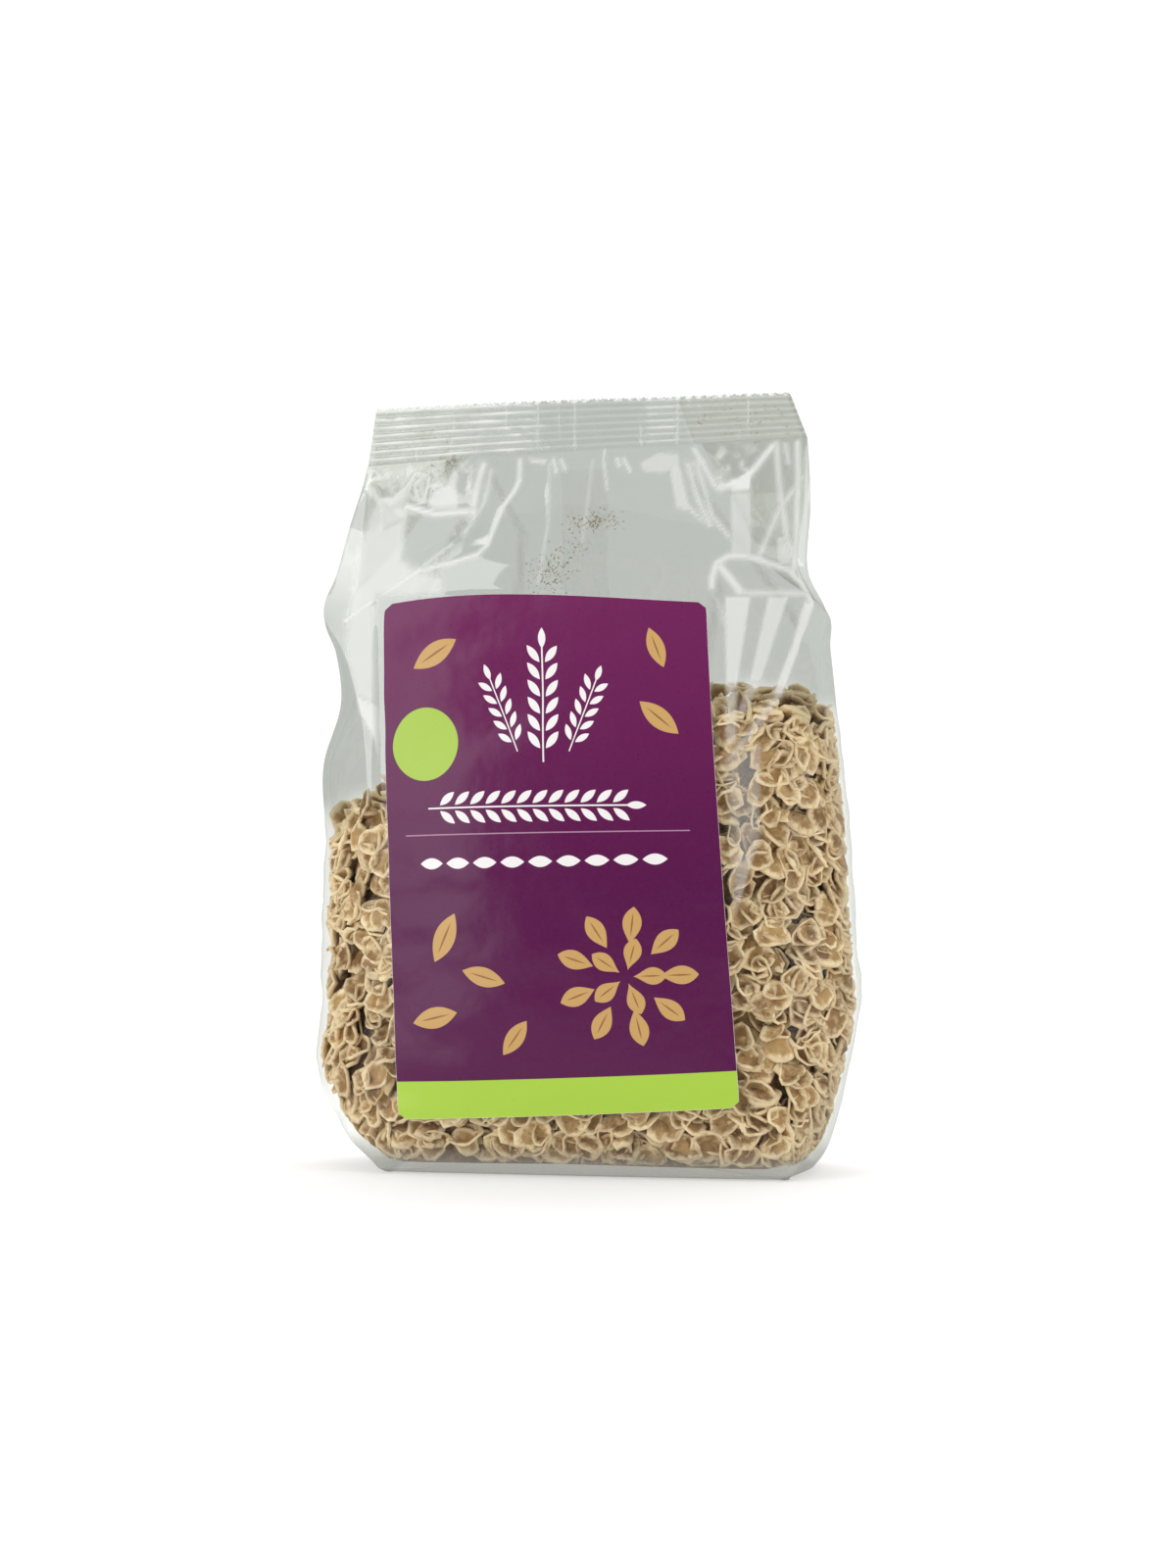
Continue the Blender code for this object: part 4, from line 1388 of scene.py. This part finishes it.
# %% The core
CORE_INSET_MM = 8.5
CORE_FOOT_MM = 3.0
CORE_SHOULDER_MM = 113.0
CORE_COLUMNS = 120
CORE_ROWS = 36
CORE_CAP_ROWS = 14

core_grid_rows = CORE_ROWS + 2 * CORE_CAP_ROWS
core, across_core, up_core = add_grid("oat_core", CORE_COLUMNS, core_grid_rows)
row = np.round(up_core * core_grid_rows) - CORE_CAP_ROWS
turn = across_core * 2.0 * np.pi
climb = np.clip(row / CORE_ROWS, 0.0, 1.0)
# The caps close towards the middle, below the first row of the sides and above the last.
close = 1.0 - np.maximum(np.maximum(-row, row - CORE_ROWS), 0.0) / CORE_CAP_ROWS
flat = np.stack((np.cos(turn), np.sin(turn)), axis=1)
guess = np.column_stack((flat, between((CORE_FOOT_MM, CORE_SHOULDER_MM), 2.0 * climb - 1.0)))
reach = (bag_radius(guess) - CORE_INSET_MM) * close
core_points = np.column_stack((flat * reach[:, None], np.zeros(len(row))))
top = heap_top(core_points[:, 0], core_points[:, 1]) - CORE_INSET_MM
core_points[:, 2] = CORE_FOOT_MM + (top - CORE_FOOT_MM) * climb
place_points(core, core_points)
weld(core)


def core_finish():
    finish = Finish("oat_shadow")
    cloud = finish.noise(finish.object_place(), 260.0, 4.0, 0.6)
    colour = finish.mix(cloud.ramp(0.35, 0.7), (0.15, 0.076, 0.028), (0.40, 0.25, 0.11))
    normal = finish.bump(cloud, 0.002)
    return finish.surface(finish.principled(base_color=colour, roughness=0.85, normal=normal))


hand_over(core, "oats", core_finish(), "film_bag")

# %% [markdown]
# ## The back seam
#
# The two edges of the web are sealed face to face down the middle of the back, and the
# seam is folded flat. It shows through the clear front as an upright band.

# %% The back seam
SEAM_MM = 12.6
SEAM_TINT = (0.99, 0.99, 0.985, 1.0)
SEAM_GRID = (14, 150)
SEAM_HEIGHTS_MM = (2.0, 203.5)
# How far the seam stands off the back, and how much nearer it comes at the seal
SEAM_GAPS_MM = (1.3, 0.5)

seam, across_seam, up_seam = add_grid("back_seam", *SEAM_GRID)
seam_height = between(SEAM_HEIGHTS_MM, 2.0 * up_seam - 1.0)
seam_points = skin((across_seam - 0.5) * SEAM_MM % WEB_MM, seam_height)
seam_points[:, 1] += SEAM_GAPS_MM[0] - SEAM_GAPS_MM[1] * smooth_step(seam_height, 190.0, 204.0)
place_points(seam, seam_points)
nowhere = np.zeros(len(seam_height))
mark_film(seam, smooth_step(seam_height, 120.0, 140.0), nowhere, nowhere)
hand_over(seam, "film", film_finish("seam_film", 0.0002, SEAM_TINT), "film_bag")

# %% [markdown]
# ## The label
#
# A paper label with a soft gloss. A grid is rounded at its corners, laid on the bag's
# front with low waves where the film under it gives, and given the paper's thickness.

# %% Lay the label
LABEL_COLUMNS = 56
LABEL_ROWS = 86
PAPER_MM = 0.16
LABEL_LIFT_MM = 0.45
PAPER_CREASE = math.radians(30.0)

label, across_label, up_label = add_grid("paper_label", LABEL_COLUMNS, LABEL_ROWS)
up = (up_label - 0.5) * LABEL_MM[1]
into_corner = np.clip(1.0 - (0.5 * LABEL_MM[1] - np.abs(up)) / LABEL_CORNER_MM, 0.0, 1.0)
half_width = 0.5 * LABEL_MM[0] - LABEL_CORNER_MM * (1.0 - np.sqrt(1.0 - into_corner ** 2))
across = (2.0 * across_label - 1.0) * half_width / (0.5 * LABEL_MM[0])
label_x, label_z = label_point(across, 2.0 * up_label - 1.0)
label_points = skin(front_place(label_x, label_z), label_z)
label_points[:, 1] -= LABEL_LIFT_MM + np.maximum(label_wave(label_x, label_z), 0.0)
place_points(label, label_points)
thicken = label.modifiers.new("paper", "SOLIDIFY")
thicken.thickness = PAPER_MM * MM
thicken.offset = 1.0
only(label)
bpy.ops.object.modifier_apply(modifier="paper")
bpy.ops.object.shade_smooth_by_angle(angle=PAPER_CREASE)
# The paper is white on its back, which shows through the film from behind.
layers = np.array([vertex.co.y for vertex in label.data.vertices]).reshape(2, -1)
paper_back = np.repeat((layers.mean(axis=1) > layers.mean()).astype(float), layers.shape[1])
add_attribute(label, "paper_back", "FLOAT", paper_back)

# %% [markdown]
# ## The label's print
#
# The print is drawn by arithmetic on the label's own UV map, in millimetres from the
# label's centre: a purple ground, a lime band along the foot, a lime dot, a thin rule, and
# plain ears of oats and loose grains. One leaf shape makes them all. An ear is a row of
# leaves that repeats along a stem, folded over so that one side mirrors the other.

# %% Shapes for the print
def leaf(x, y, length, width, soft=0.12):
    """A pointed oval about the origin, as a mask."""
    along = x / length
    return (width * (1.0 - along * along) - abs(y)).ramp(0.0, soft)


def turn_about(x, y, centre, angle):
    """Places measured from a centre, along and across an angle."""
    dx = x - centre[0]
    dy = y - centre[1]
    c = math.cos(angle)
    s = math.sin(angle)
    return dx * c + dy * s, dy * c - dx * s


def ear(x, y, centre, angle, pairs, size):
    """An ear of oats: pairs of leaves along a stem, and one leaf at its tip."""
    along, beside = turn_about(x, y, centre, angle)
    pitch = 1.9 * size
    length = pairs * pitch
    lean = math.radians(38.0)
    cell = (along - 0.5 * pitch).wrap(pitch)
    out = abs(beside) - 1.05 * size
    a = cell * math.cos(lean) + out * math.sin(lean)
    b = out * math.cos(lean) - cell * math.sin(lean)
    within = along.ramp(-0.01, 0.01) * (1.0 - (along - length).ramp(-0.01, 0.01))
    leaves = leaf(a, b, 1.2 * size, 0.46 * size) * within
    stem = (0.11 * size - abs(beside)).ramp(0.0, 0.1) * (along + 1.5 * size).ramp(0.0, 0.1)
    stem = stem * (1.0 - (along - length).ramp(0.0, 0.1))
    tip = leaf(along - length - 0.8 * size, beside, 1.2 * size, 0.46 * size)
    return leaves.high(stem).high(tip)


# %% [markdown]
# The inks are laid one over another, from the purple ground to the paper's bare edge.

# %% Print the label
PURPLE = (0.092, 0.0045, 0.062)
PURPLE_TOP = (0.150, 0.014, 0.090)
FIBRE = (0.24, 0.07, 0.18)
LIME = (0.405, 0.615, 0.062)
LIME_DOT = (0.385, 0.56, 0.075)
PAPER = (0.86, 0.83, 0.82)
RULE = (0.40, 0.23, 0.34)
GRAIN = (0.58, 0.345, 0.125)
GRAIN_DARK = (0.30, 0.15, 0.05)
BAND_MM = 10.4
# Each ear: its foot, its angle in degrees, how many pairs of leaves it has, and their size
EARS = (
    ((0.0, 29.0), 90.0, 6, 2.5), ((-8.5, 31.0), 112.0, 5, 2.0), ((8.5, 31.0), 68.0, 5, 2.0),
    ((-31.0, 13.5), 0.0, 12, 2.4),
)
# Each loose grain: its middle, its angle and its half length
GRAINS = (
    ((-32.0, 56.0), 0.5, 7.5), ((33.0, 38.0), -0.7, 7.0), ((-31.0, -22.0), 1.1, 7.5),
    ((-20.0, -33.0), -0.3, 6.5), ((-35.0, -44.0), 0.2, 7.0), ((-12.0, -50.0), 0.9, 6.0),
    ((33.0, 58.0), 1.9, 6.0),
)
# Two rings of grains about one middle, each as its radius, their number and half length
RING_MIDDLE = (20.0, -34.0)
RINGS = ((14.5, 9, 5.2), (6.5, 5, 4.6))
DOT_MIDDLE = (-35.2, 31.2)
DOT_RADIUS_MM = 10.1


def label_finish():
    finish = Finish("label_print")
    uv = finish.wire(finish.add("ShaderNodeTexCoord"), "UV")
    u, v, _ = finish.parts(uv)
    x = (u - 0.5) * LABEL_MM[0]
    y = (v - 0.5) * LABEL_MM[1]
    place = finish.object_place()
    fibre = finish.noise(place, 900.0, 3.0, 0.6)
    colour = finish.mix(y.ramp(-20.0, 75.0), PURPLE, PURPLE_TOP)
    colour = finish.mix((fibre - 0.5).high(0.0) * 0.2, colour, FIBRE)

    for centre, angle, pairs, size in EARS:
        colour = finish.mix(ear(x, y, centre, math.radians(angle), pairs, size), colour, PAPER)
    rule = (0.22 - abs(y - 6.3)).ramp(0.0, 0.1) * (41.0 - abs(x + 1.0)).ramp(0.0, 0.2)
    colour = finish.mix(rule, colour, RULE)
    row = leaf((x + 2.0).wrap(8.0), y + 1.5, 3.5, 1.6) * (36.0 - abs(x + 2.0)).ramp(0.0, 0.1)
    colour = finish.mix(row, colour, PAPER)

    for centre, angle, length in GRAINS:
        along, beside = turn_about(x, y, centre, angle)
        colour = finish.mix(leaf(along, beside, length, 0.42 * length), colour, GRAIN)
        colour = finish.mix(leaf(along, beside, 0.7 * length, 0.05 * length), colour, GRAIN_DARK)

    around, away = turn_about(x, y, RING_MIDDLE, 0.0)
    angle = around.math("ARCTAN2", away, None)
    distance = (around * around + away * away) ** 0.5
    for radius, count, length in RINGS:
        spoke = angle.wrap(2.0 * math.pi / count) * radius
        out = distance - radius
        colour = finish.mix(leaf(out, spoke, length, 0.5 * length), colour, GRAIN)
        colour = finish.mix(leaf(out, spoke, 0.7 * length, 0.06 * length), colour, GRAIN_DARK)

    band = 1.0 - (y + 0.5 * LABEL_MM[1] - BAND_MM).ramp(-0.05, 0.05)
    colour = finish.mix(band, colour, LIME)
    dot_x, dot_y = turn_about(x, y, DOT_MIDDLE, 0.0)
    dot = (DOT_RADIUS_MM - (dot_x * dot_x + dot_y * dot_y) ** 0.5).ramp(0.0, 0.1)
    colour = finish.mix(dot, colour, LIME_DOT)
    edge = (0.5 * LABEL_MM[0] - abs(x)).low(0.5 * LABEL_MM[1] - abs(y))
    colour = finish.mix(1.0 - edge.ramp(0.02, 0.10), colour, PAPER)
    colour = finish.mix(finish.attribute("paper_back"), colour, PAPER)

    ripple = finish.noise(place, 90.0, 2.0, 0.5)
    normal = finish.bump(ripple + fibre * 0.03, 0.0005)
    roughness = 0.24 + 0.10 * fibre
    return finish.surface(finish.principled(
        base_color=colour, roughness=roughness, specular_ior_level=0.24, normal=normal,
    ))


hand_over(label, "label", label_finish(), "front_label")

# %% [markdown]
# ## Floor
#
# A pale sweep runs under the bag and up behind it. It is a grid bent along its length.

# %% Floor
SWEEP_WIDTH = 6.0
SWEEP_TURN = 0.6
SWEEP_FRONT = -1.6
SWEEP_BACK = 1.1
SWEEP_HEIGHT = 3.0

deselect()
bpy.ops.mesh.primitive_grid_add(x_subdivisions=2, y_subdivisions=48, size=1.0)
sweep = bpy.context.object
sweep.name = "sweep"
ahead = SWEEP_BACK - SWEEP_FRONT
bend = 0.5 * math.pi * SWEEP_TURN
for vertex in sweep.data.vertices:
    distance = (vertex.co.y + 0.5) * (ahead + bend + SWEEP_HEIGHT)
    angle = min(max((distance - ahead) / SWEEP_TURN, 0.0), 0.5 * math.pi)
    vertex.co.x *= SWEEP_WIDTH
    vertex.co.y = SWEEP_FRONT + min(distance, ahead) + SWEEP_TURN * math.sin(angle)
    vertex.co.z = SWEEP_TURN * (1.0 - math.cos(angle)) + max(distance - ahead - bend, 0.0)
sweep.data.shade_smooth()
floor_finish = Finish("white_sweep")
sweep.data.materials.append(floor_finish.surface(floor_finish.principled(
    base_color=(0.52, 0.52, 0.52, 1.0), roughness=0.8,
    emission_color=(1.0, 1.0, 1.0, 1.0), emission_strength=0.44,
)))
print("the sweep rises", round(max(v.co.z for v in sweep.data.vertices), 2), "m behind the bag")

# %% [markdown]
# ## Light
#
# Two tall softboxes stand at the sides, where the film mirrors them as upright streaks, a
# broad one hangs above, and one behind lights the sweep. The room itself is dim, so that
# the film's front stays clear.

# %% Lights
def softbox(name, place, aim, size, power):
    """A rectangular softbox that faces a point."""
    data = bpy.data.lights.new(name, "AREA")
    data.shape = "RECTANGLE"
    data.size, data.size_y = size
    data.energy = power
    lamp = bpy.data.objects.new(name, data)
    lamp.location = place
    lamp.rotation_euler = (Vector(place) - Vector(aim)).to_track_quat("Z", "Y").to_euler()
    bpy.context.scene.collection.objects.link(lamp)


ROOM_LIGHT = 0.30
BAG_MIDDLE = (0.0, 0.0, 0.11)

softbox("left_box", (-0.82, -0.80, 0.85), (0.0, 0.0, 0.85), (0.70, 2.1), 14.0)
softbox("right_box", (1.05, -0.35, 0.85), (0.0, 0.0, 0.85), (0.45, 2.1), 9.0)
softbox("top_box", (0.0, 0.05, 1.3), BAG_MIDDLE, (1.0, 0.6), 5.0)
softbox("back_box", (0.0, 0.9, 1.9), (0.0, 1.6, 0.6), (2.4, 0.8), 24.0)

world = bpy.data.worlds.new("room")
world.use_nodes = True
background = world.node_tree.nodes["Background"]
background.inputs["Color"].default_value = (1.0, 1.0, 1.0, 1.0)
background.inputs["Strength"].default_value = ROOM_LIGHT
bpy.context.scene.world = world
bpy.context.scene.view_settings.view_transform = "Standard"
